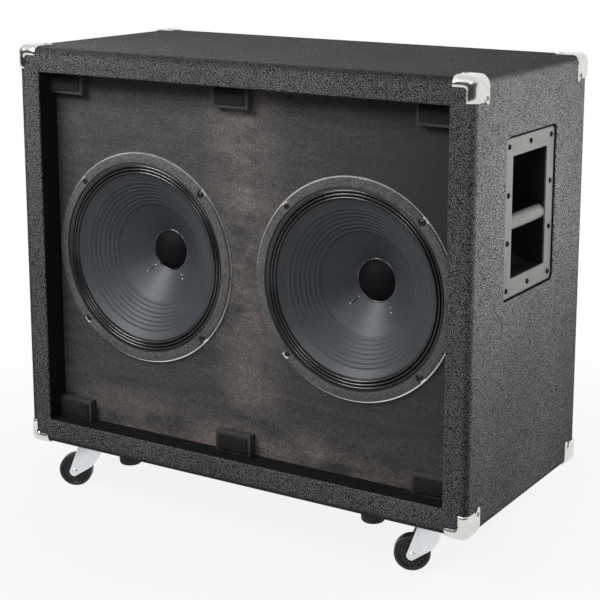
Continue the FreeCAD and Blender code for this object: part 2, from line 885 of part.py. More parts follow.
screw_hole = s.screw_radius + s.screw_hole_play
foot_low = s.foot_radius - s.foot_taper
foot = turned("foot", [
    (screw_hole, 0),
    (s.foot_radius, 0),
    (foot_low, s.foot_edge - s.foot_height, -s.foot_edge),
    (foot_low - s.foot_edge, -s.foot_height),
    (s.foot_bore_radius, -s.foot_height),
    (s.foot_bore_radius, s.foot_bore_depth - s.foot_height),
    (screw_hole, s.foot_bore_depth - s.foot_height),
])
foot_x = half_width - s.foot_inset_x
foot_y = half_depth - s.foot_inset_y
foot_places = [(x, y) for x in (-foot_x, foot_x) for y in (-foot_y, foot_y)]
node(copies("rubber_feet", foot, [spot(x, y, floor_side) for x, y in foot_places]), "rubber_feet")
foot_seat = floor_side - s.foot_height + s.foot_bore_depth
foot_screw = screw("foot_screw", s.screw_radius, floor_side - foot_seat + s.screw_length,
                   s.screw_head_radius, s.screw_head_height)
foot_screw_places = [seated(x, y, foot_seat, "-z") for x, y in foot_places]
node(copies("foot_screws", foot_screw, foot_screw_places), "foot_screws")

# Casters, drawn about the swivel axis from the floor up, with the wheel trailing towards -x

plate_under = floor_side - s.caster_plate_thickness
race_end = plate_under - s.race_height
fork_top = race_end - s.caster_gap
fork_under = fork_top - s.fork_sheet
pin_head_top = fork_under - s.caster_gap
pin_head_end = pin_head_top - s.kingpin_head_height
leg_inside = s.wheel_hub_width / 2 + s.caster_gap
leg_outside = leg_inside + s.fork_sheet
axle_end = leg_outside + s.axle_head
wheel_bore = s.axle_radius + s.running_clearance
plate_holes = [(x, y) for x in (-s.caster_hole_across / 2, s.caster_hole_across / 2)
               for y in (-s.caster_hole_along / 2, s.caster_hole_along / 2)]

caster_outline = rounded_rectangle(s.caster_plate_width / 2, s.caster_plate_depth / 2, s.caster_plate_corner)
caster_blank = slab("caster_plate_blank", "XY_Plane", caster_outline, s.caster_plate_thickness, False)
kingpin = turned("kingpin", [
    (0, plate_under),
    (s.race_radius, plate_under),
    (s.race_radius - s.race_height / 2, race_end),
    (s.kingpin_radius, race_end),
    (s.kingpin_radius, pin_head_top),
    (s.kingpin_head, pin_head_top),
    (s.kingpin_radius, pin_head_end),
    (0, pin_head_end),
])
caster_holes = [cylinder(f"caster_hole_{i}", screw_hole, 3 * s.caster_plate_thickness,
                         (x, y, plate_under - s.caster_plate_thickness))
                for i, (x, y) in enumerate(plate_holes)]
caster_plate = cut("caster_plate", joined("caster_plate_with_pin", [
    place(caster_blank, 0, 0, plate_under),
    kingpin,
]), caster_holes)


def fork_plan(half):
    """Plan of the fork: two straight legs joined by a round nose."""
    tail_end = -s.caster_trail - 2 * s.fork_boss
    return [
        (tail_end, -half),
        (s.fork_nose, -half, half),
        (s.fork_nose + half, 0, half),
        (s.fork_nose, half),
        (tail_end, half),
    ]


fork_front = s.fork_nose + leg_outside
fork_side = [
    (-s.caster_trail - s.fork_boss, s.wheel_radius, s.fork_boss),
    (-s.caster_trail, s.wheel_radius - s.fork_boss),
    (0, s.wheel_radius + s.fork_boss / 2, 2 * fork_front),
    (fork_front, fork_under - s.fork_sheet),
    (fork_front, fork_top),
    (-leg_outside, fork_top),
]
fork_blank = common("fork_blank", slab("fork_around", "XY_Plane", fork_plan(leg_outside), fork_top, False),
                    slab("fork_view", "XZ_Plane", fork_side, 4 * leg_outside))
fork = cut("fork", fork_blank, [
    slab("fork_within", "XY_Plane", fork_plan(leg_inside), fork_under, False),
    cylinder("fork_pin_hole", s.kingpin_radius + s.running_clearance, fork_top, (0, 0, fork_under / 2)),
    cylinder("fork_axle_hole", s.axle_radius, 4 * leg_outside,
             (-s.caster_trail, -2 * leg_outside, s.wheel_radius), "y"),
])

tread = s.wheel_width / 2
hub = s.wheel_hub_width / 2
web = tread - s.wheel_recess
wheel = turned("wheel", [
    (wheel_bore, -hub),
    (s.wheel_hub_radius, -hub),
    (s.wheel_hub_radius, -web),
    (s.wheel_web_radius, -web),
    (s.wheel_web_radius, -tread),
    (s.wheel_radius - s.wheel_edge, -tread, s.wheel_edge),
    (s.wheel_radius, s.wheel_edge - tread),
    (s.wheel_radius, tread - s.wheel_edge, s.wheel_edge),
    (s.wheel_radius - s.wheel_edge, tread),
    (s.wheel_web_radius, tread),
    (s.wheel_web_radius, web),
    (s.wheel_hub_radius, web),
    (s.wheel_hub_radius, hub),
    (wheel_bore, hub),
])
axle = turned("axle", [
    (0, -axle_end),
    (s.axle_radius, -axle_end),
    (s.axle_head_radius, -leg_outside),
    (s.axle_radius, -leg_outside),
    (s.axle_radius, leg_outside),
    (s.axle_head_radius, leg_outside),
    (s.axle_radius, axle_end),
    (0, axle_end),
])

swivel_x = half_width - s.caster_inset_x
swivel_y = half_depth - s.caster_inset_y
swivels = {
    "front_left": (-swivel_x, -swivel_y),
    "front_right": (swivel_x, -swivel_y),
    "rear_left": (-swivel_x, swivel_y),
    "rear_right": (swivel_x, swivel_y),
}
node(copies("caster_plates", caster_plate, [spot(x, y, 0) for x, y in swivels.values()]), "caster_plates")
caster_screw_places = [seated(x + dx, y + dy, plate_under, "-z")
                       for x, y in swivels.values() for dx, dy in plate_holes]
node(copies("caster_screws", wood_screw, caster_screw_places), "caster_screws")
axle_spot = spot(-s.caster_trail, 0, s.wheel_radius, (1, 0, 0), 90)
for corner, (x, y) in swivels.items():
    heading = spot(x, y, 0, (0, 0, 1), s.caster_heading)
    wheel_spot = heading.multiply(axle_spot)
    node(copies(f"caster_fork_{corner}", fork, [heading]), f"caster_fork_{corner}")
    node(copies(f"caster_axle_{corner}", axle, [wheel_spot]), f"caster_axle_{corner}")
    node(copies(f"caster_wheel_{corner}", wheel, [wheel_spot]), f"caster_wheel_{corner}")


# Speakers, each about its own axis with heights from the baffle front towards the listener

gasket_outer = speaker_radius - s.gasket_edge
gasket_inner = gasket_outer - s.gasket_width
rim_radius = speaker_radius - s.rim_inset
shoulder_radius = rim_radius - s.shoulder_width
window_outer = shoulder_radius - s.window_margin
window_inner = s.landing_radius + s.window_margin
neck = s.former_radius + s.surround_gap
cone_radius = gasket_inner - s.surround_width
cone_fall = s.cone_depth / (cone_radius - neck)
rib_first = cone_radius - s.rib_edge - (s.rib_count - 1) * s.rib_pitch
roll_pitch = s.surround_width / (s.roll_count + 1)


def cone_height(radius):
    """Height of the cone's front face at a radius."""
    return -s.cone_edge_depth - (cone_radius - radius) * cone_fall


def ring(name, inner, outer, low, high):
    return turned(name, [(inner, low), (outer, low), (outer, high), (inner, high)])


def sheet_metal(name, line, thickness):
    """Turned piece of one thickness that follows a line of (radius, height) points."""
    return turned(name, line + [(radius, height + thickness) for radius, height in reversed(line)])


flange = s.flange_thickness
sheet_wall = s.basket_wall
landing = -s.landing_depth
spider_seat = landing + sheet_wall
rim_end = -s.rim_depth
basket_end = -s.basket_depth
plate_end = basket_end - s.front_plate_thickness
magnet_end = plate_end - s.magnet_thickness
yoke_end = magnet_end - s.back_plate_thickness
coil_low = s.coil_foot - s.former_bottom
coil_high = coil_low + s.coil_length
coil_radius = s.former_radius + s.coil_thickness
former_bore = s.former_radius - s.former_wall

# Pressed basket: flange, rim, conical legs between windows, spider landing and cup
basket_blank = turned("basket_blank", [
    (speaker_radius, 0),
    (speaker_radius, flange),
    (rim_radius, flange),
    (rim_radius, rim_end + sheet_wall),
    (shoulder_radius, rim_end + sheet_wall),
    (s.landing_radius, spider_seat),
    (s.cup_radius, spider_seat),
    (s.cup_radius, basket_end + sheet_wall),
    (s.cup_hole_radius, basket_end + sheet_wall),
    (s.cup_hole_radius, basket_end),
    (s.cup_radius + sheet_wall, basket_end),
    (s.cup_radius + sheet_wall, landing),
    (s.landing_radius + sheet_wall, landing),
    (shoulder_radius + sheet_wall, rim_end),
    (rim_radius + sheet_wall, rim_end),
    (rim_radius + sheet_wall, 0),
])
window_half = s.window_angle / 2
window_across = cosine(window_half)
window_up = sine(window_half)
window = outline(basket_blank, "basket_window", "XY_Plane", [
    (window_inner * window_across, -window_inner * window_up),
    (window_outer * window_across, -window_outer * window_up, window_outer),
    (window_outer * window_across, window_outer * window_up),
    (window_inner * window_across, window_inner * window_up, -window_inner),
])
window_cut = pocket_through(basket_blank, "basket_window_cut", window)
ring_pattern(basket_blank, "basket_windows", window_cut, window, s.window_count)
place(basket_blank, 0, 0, 0, (0, 0, 1), s.window_turn)
flange_holes = [cylinder(f"flange_hole_{i}", s.bolt_radius + s.bolt_play, 3 * flange,
                         (bolt_circle * cosine(angle), bolt_circle * sine(angle), -flange))
                for i, angle in enumerate(bolt_angles)]
basket = cut("basket", basket_blank, flange_holes)

# Gasket ring with a notch at each bolt
gasket_front = flange + s.gasket_thickness
gasket_notches = []
for i, angle in enumerate(bolt_angles):
    notch = joined(f"gasket_notch_{i}", [
        box(f"notch_slot_{i}", (bolt_circle, -s.notch_radius, 0),
            (speaker_radius, s.notch_radius, 2 * gasket_front)),
        cylinder(f"notch_end_{i}", s.notch_radius, 2 * gasket_front, (bolt_circle, 0, 0)),
    ])
    notch.Placement = spot(0, 0, 0, (0, 0, 1), angle)
    gasket_notches.append(notch)
gasket_ring = ring("gasket_ring", gasket_inner, gasket_outer, flange, gasket_front)
gasket = cut("gasket", gasket_ring, gasket_notches)

# Paper cone with concentric ribs and a neck on the coil former
cone_front = [(neck, cone_height(neck))]
for i in range(round(number(s.rib_count))):
    for offset, lift in ((-s.rib_width / 2, 0), (0, s.rib_height), (s.rib_width / 2, 0)):
        rib_radius = rib_first + i * s.rib_pitch + offset
        cone_front.append((rib_radius, cone_height(rib_radius) + lift))
cone_front.append((cone_radius, cone_height(cone_radius)))
cone = turned("cone", cone_front + [
    (cone_radius, cone_height(cone_radius) - s.cone_wall),
    (neck, cone_height(neck) - s.cone_wall),
])

# Corrugated surround from the cone's edge to the flange
roll_start = cone_radius + s.surround_gap + roll_pitch / 3
roll_low = -s.roll_valley - s.surround_wall
surround_line = [(cone_radius + s.surround_gap, roll_low)]
for i in range(round(number(s.roll_count))):
    roll = roll_start + i * roll_pitch
    surround_line += [(roll, roll_low), (roll + roll_pitch / 2, roll_low + s.roll_height)]
surround_line += [(roll + roll_pitch, flange), (gasket_inner - s.surround_gap, flange)]
surround = sheet_metal("surround", surround_line, s.surround_wall)

# Spider: corrugated centring disc from the former to the landing
wave_count = round(number(s.spider_waves))
wave = (s.cup_radius - neck) / (2 * s.spider_waves)
spider_line = [(neck, spider_seat)]
for i in range(wave_count):
    spider_line += [(neck + (2 * i + 1) * wave, spider_seat + s.spider_wave),
                    (neck + (2 * i + 2) * wave, spider_seat)]
spider_line.append((s.landing_radius - s.surround_gap, spider_seat))
spider = sheet_metal("spider", spider_line, s.spider_wall)

# Dust cap dome over the coil
dome_foot = cone_height(s.dome_radius) + s.glue_gap / 2
dome_inside = s.dome_radius - s.dome_wall
dome_inside_height = s.dome_height - s.dome_wall


def dome_curve(radius, height):
    """Radius of a spherical dome from its width and height."""
    return (radius * radius + height * height) / (2 * height)


dust_cap = turned("dust_cap", [
    (dome_inside, dome_foot),
    (s.dome_radius, dome_foot, dome_curve(s.dome_radius, s.dome_height)),
    (0, dome_foot + s.dome_height),
    (0, dome_foot + dome_inside_height, -dome_curve(dome_inside, dome_inside_height)),
])

# Voice coil: former with its winding
former_top = cone_height(s.former_radius) + s.former_stand
voice_coil = turned("voice_coil", [
    (former_bore, -s.former_bottom),
    (s.former_radius, -s.former_bottom),
    (s.former_radius, coil_low),
    (coil_radius, coil_low),
    (coil_radius, coil_high),
    (s.former_radius, coil_high),
    (s.former_radius, former_top),
    (former_bore, former_top),
])

# Motor: front plate, ring magnet and back plate with a vented pole
plate_bore = coil_radius + s.plate_clearance
front_plate = ring("front_plate", plate_bore, s.front_plate_radius, plate_end, basket_end)
magnet = ring("magnet", s.magnet_bore, s.magnet_radius, magnet_end, plate_end)
pole_radius = former_bore - s.pole_clearance
yoke = turned("yoke", [
    (s.pole_vent_radius, yoke_end),
    (s.front_plate_radius, yoke_end),
    (s.front_plate_radius, magnet_end),
    (pole_radius, magnet_end),
    (pole_radius, basket_end),
    (s.pole_vent_radius, basket_end),
])

# Terminal strip with two solder lugs, lying on the lowest basket leg
leg_slope = math.degrees(math.atan2(number(s.landing_depth - s.rim_depth),
                                    number(shoulder_radius - s.landing_radius)))
leg_radius = (shoulder_radius + s.landing_radius) / 2 + sheet_wall
leg_height = -(s.rim_depth + s.landing_depth) / 2
lug_end = s.terminal_thickness + s.lug_length
lug_spots = (-s.terminal_width / 4, s.terminal_width / 4)
terminal_parts = [box("terminal_plate", (-s.terminal_width / 2, -s.terminal_length / 2, 0),
                      (s.terminal_width / 2, s.terminal_length / 2, s.terminal_thickness))]
for i, x in enumerate(lug_spots):
    terminal_parts.append(box(f"terminal_lug_{i}", (x - s.lug_width / 2, -s.lug_thickness / 2, 0),
                              (x + s.lug_width / 2, s.lug_thickness / 2, lug_end)))
terminal = joined("terminal", terminal_parts)
leg_spot = spot(0, -leg_radius, leg_height, (1, 0, 0), 180 - leg_slope)


def around_axis(radius, angle, height):
    """Point of a speaker at an angle from its lowest leg."""
    return (radius * sine(angle), -(radius * cosine(angle)), height)


def lead(name, side):
    """Flexible lead from behind the cone, out through a window and round to a lug."""
    exit_angle = side * s.window_turn
    eyelet_angle = side * s.lead_eyelet_angle
    behind = cone_height(s.lead_eyelet_radius) - s.cone_wall - s.lead_radius
    lug_edge = side * (s.terminal_width / 4 + s.lug_width / 2 + s.lead_radius / 2)
    lug_tip = leg_spot.multVec(FreeCAD.Vector(number(lug_edge), 0, number(lug_end - s.lug_width / 2)))
    return tube(name, [
        around_axis(s.lead_eyelet_radius, eyelet_angle, behind),
        around_axis(s.lead_eyelet_radius, eyelet_angle, behind - s.lead_drop),
        around_axis(window_inner + s.lead_drop, exit_angle, leg_height),
        around_axis(leg_radius, exit_angle, leg_height - s.lead_drop),
        lug_tip,
    ], s.lead_radius)


leads = compound("leads", [lead("lead_minus", -1), lead("lead_plus", 1)])

speaker_places = {side: spot(x, baffle_front, middle_height, (1, 0, 0), 90)
                  for side, x in speaker_spots.items()}
single_pieces = {
    "speaker_basket": basket,
    "speaker_cone": cone,
    "speaker_surround": surround,
    "speaker_spider": spider,
    "speaker_dust_cap": dust_cap,
    "voice_coil": voice_coil,
    "tinsel_leads": leads,
}
for label, master in single_pieces.items():
    for side, where in speaker_places.items():
        node(copies(f"{label}_{side}", master, [where]), f"{label}_{side}")
paired_pieces = {
    "speaker_gaskets": gasket,
    "magnet_front_plates": front_plate,
    "speaker_magnets": magnet,
    "magnet_yokes": yoke,
}
for label, master in paired_pieces.items():
    node(copies(label, master, speaker_places.values()), label)
terminal_spots = [where.multiply(leg_spot) for where in speaker_places.values()]
node(copies("speaker_terminals", terminal, terminal_spots), "speaker_terminals")
bolt = screw("bolt", s.bolt_radius, s.bolt_length, s.bolt_head_radius, s.bolt_head_height)
bolt_places = [seated(x, baffle_front - flange, z, "-y") for x, z in bolt_spots()]
node(copies("speaker_bolts", bolt, bolt_places), "speaker_bolts")

# Jack dish in the back panel, with two sockets, and the wires to the speakers

dish_front = back_outside + s.jack_flange_thickness
dish_floor = dish_front - s.jack_cup_depth
dish_end = dish_floor - s.jack_wall
flange_half_x = s.jack_flange_width / 2
flange_half_z = s.jack_flange_height / 2
jack_screw_x = (flange_half_x + cup_half_x) / 2
jack_screw_z = (flange_half_z + cup_half_z) / 2
jack_screw_spots = [(x, jack_height + z) for x in (-jack_screw_x, jack_screw_x)
                    for z in (-jack_screw_z, jack_screw_z)]
socket_spots = (-s.jack_spacing / 2, s.jack_spacing / 2)
jack_outline = rounded_rectangle(flange_half_x, flange_half_z, s.jack_corner)
jack_flange = slab("jack_flange", "XZ_Plane", jack_outline, s.jack_flange_thickness, False, True)
jack_blank = joined("jack_blank", [
    place(jack_flange, 0, back_outside, jack_height),
    box("jack_cup", (-cup_half_x, dish_end, jack_height - cup_half_z),
        (cup_half_x, back_outside, jack_height + cup_half_z)),
])
jack_cuts = [box("jack_cup_inside", (-s.jack_cup_width / 2, dish_floor, jack_height - s.jack_cup_height / 2),
                 (s.jack_cup_width / 2, dish_front + s.jack_wall, jack_height + s.jack_cup_height / 2))]
for i, (x, z) in enumerate(jack_screw_spots):
    jack_cuts.append(cylinder(f"jack_screw_hole_{i}", screw_hole, 3 * s.jack_flange_thickness,
                              (x, back_outside - s.jack_flange_thickness, z), "y"))
for i, x in enumerate(socket_spots):
    jack_cuts.append(cylinder(f"jack_floor_hole_{i}", s.jack_bushing + s.screw_hole_play, 3 * s.jack_wall,
                              (x, dish_end - s.jack_wall, jack_height), "y"))
node(cut("jack_dish", jack_blank, jack_cuts), "jack_dish")
node(copies("jack_dish_screws", wood_screw, [seated(x, dish_front, z, "+y") for x, z in jack_screw_spots]),
     "jack_dish_screws")

socket_half = s.jack_body_width / 2
bushing_end = dish_floor + s.jack_bushing_reach
nut = doc.addObject("Part::Prism", "jack_nut")
nut.Polygon = 6
bind(nut, "Circumradius", s.jack_nut)
bind(nut, "Height", s.jack_nut_height)
place(nut, 0, dish_floor, 0, (1, 0, 0), -90)
socket_end = dish_end - s.jack_body_length
socket_blank = joined("socket_blank", [
    nut,
    cylinder("jack_bushing", s.jack_bushing, bushing_end - dish_end, (0, dish_end, 0), "y"),
    box("jack_body", (-socket_half, socket_end, -socket_half), (socket_half, dish_end, socket_half)),
])
bore_end = bushing_end - s.jack_bore_length
socket = cut("socket", socket_blank, [
    cylinder("jack_bore", s.jack_bore, 2 * s.jack_bore_length, (0, bore_end, 0), "y"),
])
node(copies("jack_sockets", socket, [spot(x, 0, jack_height) for x in socket_spots]), "jack_sockets")

wires = []
for (side, where), socket_x in zip(speaker_places.items(), socket_spots):
    on_leg = where.multiply(leg_spot)
    start = on_leg.multVec(FreeCAD.Vector(0, 0, number(s.terminal_thickness)))
    away = on_leg.multVec(FreeCAD.Vector(0, 0, number(s.wire_rise)))
    wires.append(tube(f"wire_{side}", [
        start,
        away,
        (away.x / 2, number(socket_end) / 2, away.z - number(s.wire_rise) / 2),
        (socket_x, socket_end - s.wire_rise, jack_height),
        (socket_x, socket_end, jack_height),
    ], s.wire_radius))
node(compound("speaker_wires", wires), "speaker_wires")

# Check every object, then write one file per sub-part

doc.recompute()
for obj in doc.Objects:
    if "Invalid" in obj.State or "Error" in obj.State:
        raise RuntimeError(f"{obj.Name} failed: {obj.State}")
for obj in nodes:
    if obj.Shape.isNull() or not obj.Shape.isValid():
        raise RuntimeError(f"{obj.Label} has no valid shape")
for obj in nodes:
    obj.Shape.exportStep(f"parts/{obj.Label}.step")
print(len(nodes), "sub-parts written")
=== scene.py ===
"""Guitar speaker cabinet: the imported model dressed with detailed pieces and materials.

Frame: +X right seen from the front, +Y to the back, +Z up, metres, origin on the floor.
"""
import json
import math

import bmesh
import bpy
from mathutils import Matrix, Vector
from mathutils.kdtree import KDTree

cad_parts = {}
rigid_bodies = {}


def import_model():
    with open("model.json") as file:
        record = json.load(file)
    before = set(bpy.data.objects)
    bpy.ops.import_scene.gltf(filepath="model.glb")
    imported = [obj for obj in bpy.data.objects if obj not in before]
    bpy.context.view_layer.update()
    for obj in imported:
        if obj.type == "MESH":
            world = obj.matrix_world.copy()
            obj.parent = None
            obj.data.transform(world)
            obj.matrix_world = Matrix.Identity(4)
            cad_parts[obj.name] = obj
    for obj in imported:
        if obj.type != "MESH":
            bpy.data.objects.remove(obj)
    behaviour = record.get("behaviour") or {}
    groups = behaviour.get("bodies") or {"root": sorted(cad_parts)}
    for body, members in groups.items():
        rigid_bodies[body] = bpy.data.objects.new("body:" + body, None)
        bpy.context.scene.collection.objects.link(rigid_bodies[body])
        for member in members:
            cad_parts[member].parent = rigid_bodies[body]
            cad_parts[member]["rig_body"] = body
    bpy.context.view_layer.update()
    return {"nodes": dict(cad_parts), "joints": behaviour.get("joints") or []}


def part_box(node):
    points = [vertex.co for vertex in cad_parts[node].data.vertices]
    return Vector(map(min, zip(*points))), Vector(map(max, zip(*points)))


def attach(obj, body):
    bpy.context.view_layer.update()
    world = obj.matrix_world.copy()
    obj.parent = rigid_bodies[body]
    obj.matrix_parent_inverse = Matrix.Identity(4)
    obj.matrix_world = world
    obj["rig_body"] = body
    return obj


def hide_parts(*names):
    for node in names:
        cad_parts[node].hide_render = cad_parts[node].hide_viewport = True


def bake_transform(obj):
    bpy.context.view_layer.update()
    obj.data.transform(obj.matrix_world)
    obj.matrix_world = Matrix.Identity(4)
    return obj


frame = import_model()
nodes = frame["nodes"]
scene = bpy.context.scene
scene.view_settings.view_transform = "Standard"

MM = 0.001
SIDES = ("left", "right")
CORNERS = ("front_left", "front_right", "rear_left", "rear_right")


# Camera at the photograph's viewing angle

SENSOR = 36.0
IMAGE_SIZE = 600
FOCAL_PIXELS = 1543.2
CAMERA_PLACE = (1.193, -1.863, 0.888)
CAMERA_YAW = 30.69
CAMERA_PITCH = 11.49
CAMERA_ROLL = 0.33
CAMERA_SHIFT = (-0.0834, -0.15)

camera_data = bpy.data.cameras.new("camera")
camera_data.sensor_width = SENSOR
camera_data.lens = FOCAL_PIXELS * SENSOR / IMAGE_SIZE
camera_data.shift_x, camera_data.shift_y = CAMERA_SHIFT
camera = bpy.data.objects.new("camera", camera_data)
scene.collection.objects.link(camera)
camera.matrix_world = (
    Matrix.Translation(CAMERA_PLACE)
    @ Matrix.Rotation(math.radians(CAMERA_YAW), 4, "Z")
    @ Matrix.Rotation(math.radians(90 - CAMERA_PITCH), 4, "X")
    @ Matrix.Rotation(math.radians(CAMERA_ROLL), 4, "Z")
)
scene.camera = camera


# Material helpers

class Nodes:
    """A node tree, and short ways to add nodes to it."""

    def __init__(self, tree):
        self.tree = tree

    def add(self, kind, inputs=(), **settings):
        """New node with its settings, and with sockets set or linked."""
        node = self.tree.nodes.new(kind)
        for key, value in settings.items():
            setattr(node, key, value)
        for key, value in dict(inputs).items():
            self.join(value, node.inputs[key])
        return node

    def join(self, value, socket):
        """Link an output to a socket, or set the socket to a constant."""
        if isinstance(value, bpy.types.NodeSocket):
            self.tree.links.new(value, socket)
        else:
            socket.default_value = value

    def span(self, value, low, high, to_low=0.0, to_high=1.0):
        """Value carried from one range to another, and held inside it."""
        values = {"Value": value, "From Min": low, "From Max": high, "To Min": to_low, "To Max": to_high}
        return self.add("ShaderNodeMapRange", values).outputs["Result"]

    def math(self, operation, first, second):
        """Arithmetic on two values."""
        return self.add("ShaderNodeMath", {0: first, 1: second}, operation=operation).outputs["Value"]


class Paint(Nodes):
    """A material with a principled surface, and its textures."""

    def __init__(self, name, color=(0.1, 0.1, 0.1), roughness=0.5, metallic=0.0, specular=0.5):
        self.material = bpy.data.materials.new(name)
        self.material.use_nodes = True
        super().__init__(self.material.node_tree)
        self.surface = self.tree.nodes["Principled BSDF"]
        values = {"Base Color": (*color, 1.0), "Roughness": roughness, "Metallic": metallic,
                  "Specular IOR Level": specular}
        for key, value in values.items():
            self.join(value, self.surface.inputs[key])

    def place(self, stretch=(1, 1, 1)):
        """Object coordinates, stretched along the axes."""
        source = self.add("ShaderNodeTexCoord").outputs["Object"]
        return self.add("ShaderNodeMapping", {"Vector": source, "Scale": stretch}).outputs["Vector"]

    def noise(self, scale, detail=3.0, roughness=0.5, stretch=(1, 1, 1), distortion=0.0):
        """Noise in object coordinates."""
        values = {"Vector": self.place(stretch), "Scale": scale, "Detail": detail, "Roughness": roughness,
                  "Distortion": distortion}
        return self.add("ShaderNodeTexNoise", values).outputs["Fac"]

    def cells(self, scale, feature, vector, randomness):
        """Distances in a pattern of cells."""
        values = {"Vector": vector, "Scale": scale, "Randomness": randomness}
        return self.add("ShaderNodeTexVoronoi", values, feature=feature).outputs["Distance"]

    def wobbled(self, scale, amount):
        """Object coordinates pushed about by noise."""
        push = self.add("ShaderNodeTexNoise", {"Vector": self.place(), "Scale": scale}).outputs["Color"]
        centred = self.add("ShaderNodeVectorMath", {0: push, 1: (0.5, 0.5, 0.5)}, operation="SUBTRACT")
        scaled = self.add("ShaderNodeVectorMath", {0: centred.outputs["Vector"], "Scale": amount},
                          operation="SCALE")
        pushed = self.add("ShaderNodeVectorMath", {0: self.place(), 1: scaled.outputs["Vector"]})
        return pushed.outputs["Vector"]

    def ramp(self, value, stops):
        """Colours along a value, as (position, colour) pairs."""
        node = self.add("ShaderNodeValToRGB", {"Fac": value})
        elements = node.color_ramp.elements
        while len(elements) < len(stops):
            elements.new(0.5)
        for element, (position, color) in zip(elements, stops):
            element.position = position
            element.color = (*color, 1.0)
        return node.outputs["Color"]

    def mixed(self, factor, first, second, blend_type="MIX"):
        """Blend of two colours."""
        node = self.add("ShaderNodeMix", data_type="RGBA", blend_type=blend_type)
        self.join(factor, node.inputs["Factor"])
        for socket, value in ((node.inputs["A"], first), (node.inputs["B"], second)):
            self.join(value if isinstance(value, bpy.types.NodeSocket) else (*value, 1.0), socket)
        return next(output for output in node.outputs if output.type == "RGBA")

    def axis(self, letter):
        """One object coordinate."""
        return self.add("ShaderNodeSeparateXYZ", {"Vector": self.place()}).outputs[letter]

    def color(self, value):
        """Set or link the base colour."""
        self.join(value, self.surface.inputs["Base Color"])

    def rough(self, value, low, high):
        """Roughness from one level to another along a value."""
        self.join(self.span(value, 0.25, 0.75, low, high), self.surface.inputs["Roughness"])

    def bump(self, height, strength, distance):
        """Add a bump on top of those already there."""
        values = {"Height": height, "Strength": strength, "Distance": distance}
        node = self.add("ShaderNodeBump", values)
        target = self.surface.inputs["Normal"]
        if target.links:
            self.join(target.links[0].from_socket, node.inputs["Normal"])
        self.join(node.outputs["Normal"], target)


def grey(level, tint=(1.0, 1.0, 1.0)):
    """Neutral colour, or one with a slight tint."""
    return tuple(level * part for part in tint)


# Materials, with places on the object in metres

# Painted shade over the box's rounded edges: where it starts and where it is full, in from the faces
EDGE_START = 11 * MM
EDGE_FULL = 4 * MM
SLANT = Vector((1.0, 0.0, 0.0)).rotation_difference(Vector((1.0, 1.0, 1.0))).to_euler()
PEBBLE_STRETCH = (1.9, 1.0, 1.0)
PEBBLE_SCALE = 480.0
PEBBLE_DEPTH = 0.8 * MM
WORN_FOOT = (0.108, 0.175)
WORN_MIDDLE = (0.0, 0.075)
WORN_BROWN = (0.232, 0.196, 0.170)
# How far across and up the baffle turns darker towards its top right
DARKENING_ACROSS = (0.05, 0.33)
DARKENING_UP = (0.14, 0.42)
BANDS_PER_SCALE = 6.28


def painted_edge_shade(paint):
    """Mask of the painted shade on the box's edges: one where two faces of the box meet in a rounded edge,
    and zero on the flat faces.
    """
    low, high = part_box("vinyl_covering")
    near = []
    for i, letter in enumerate("XYZ"):
        from_middle = paint.math("SUBTRACT", paint.axis(letter), (low[i] + high[i]) / 2)
        reach = (high[i] - low[i]) / 2
        off_middle = paint.math("ABSOLUTE", from_middle, 0.0)
        near.append(paint.span(off_middle, reach - EDGE_START, reach - EDGE_FULL))
    pairs = [paint.math("MULTIPLY", near[i], near[k]) for i, k in ((0, 1), (0, 2), (1, 2))]
    return paint.math("MAXIMUM", pairs[0], paint.math("MAXIMUM", pairs[1], pairs[2]))


def vinyl_paint(name, dark, light):
    """Pebble-grained vinyl: soft cells, longer along one slant, with painted shade in the creases, painted
    sheen on the pebbles, cloudy clumps, and painted shade over the box's rounded edges.
    """
    paint = Paint(name, roughness=0.7, specular=0.06)
    laid = {"Vector": paint.wobbled(220.0, 1.2 * MM), "Rotation": SLANT, "Scale": PEBBLE_STRETCH}
    slanted = paint.add("ShaderNodeMapping", laid, vector_type="TEXTURE").outputs["Vector"]
    pebbles = paint.cells(PEBBLE_SCALE, "DISTANCE_TO_EDGE", slanted, 0.8)
    creases = paint.span(pebbles, 0.0, 0.30)
    # The pebble pattern is the grain; its wide range from dark to light is painted shade in the creases and
    # painted sheen on the pebble tops.
    tone = paint.ramp(creases, [(0.12, dark), (0.74, light)])
    cloudy = paint.ramp(paint.noise(5.0, 4.0), [(0.3, grey(0.82)), (0.7, grey(1.12))])
    clumps = paint.ramp(paint.noise(150.0, 2.0), [(0.36, grey(0.90)), (0.64, grey(1.08))])
    pebbled = paint.mixed(1.0, paint.mixed(1.0, tone, cloudy, "MULTIPLY"), clumps, "MULTIPLY")
    # Painted shade: the colour turns darker over the box's rounded edges, standing in for the dark
    # reflections there.
    stretch = paint.span(painted_edge_shade(paint), 0.0, 1.0, 0.0, 0.62)
    paint.color(paint.mixed(stretch, pebbled, dark))
    paint.rough(paint.noise(40.0), 0.66, 0.78)
    paint.bump(creases, 0.9, PEBBLE_DEPTH)
    paint.bump(paint.noise(1500.0, 2.0), 0.25, 0.2 * MM)
    return paint.material


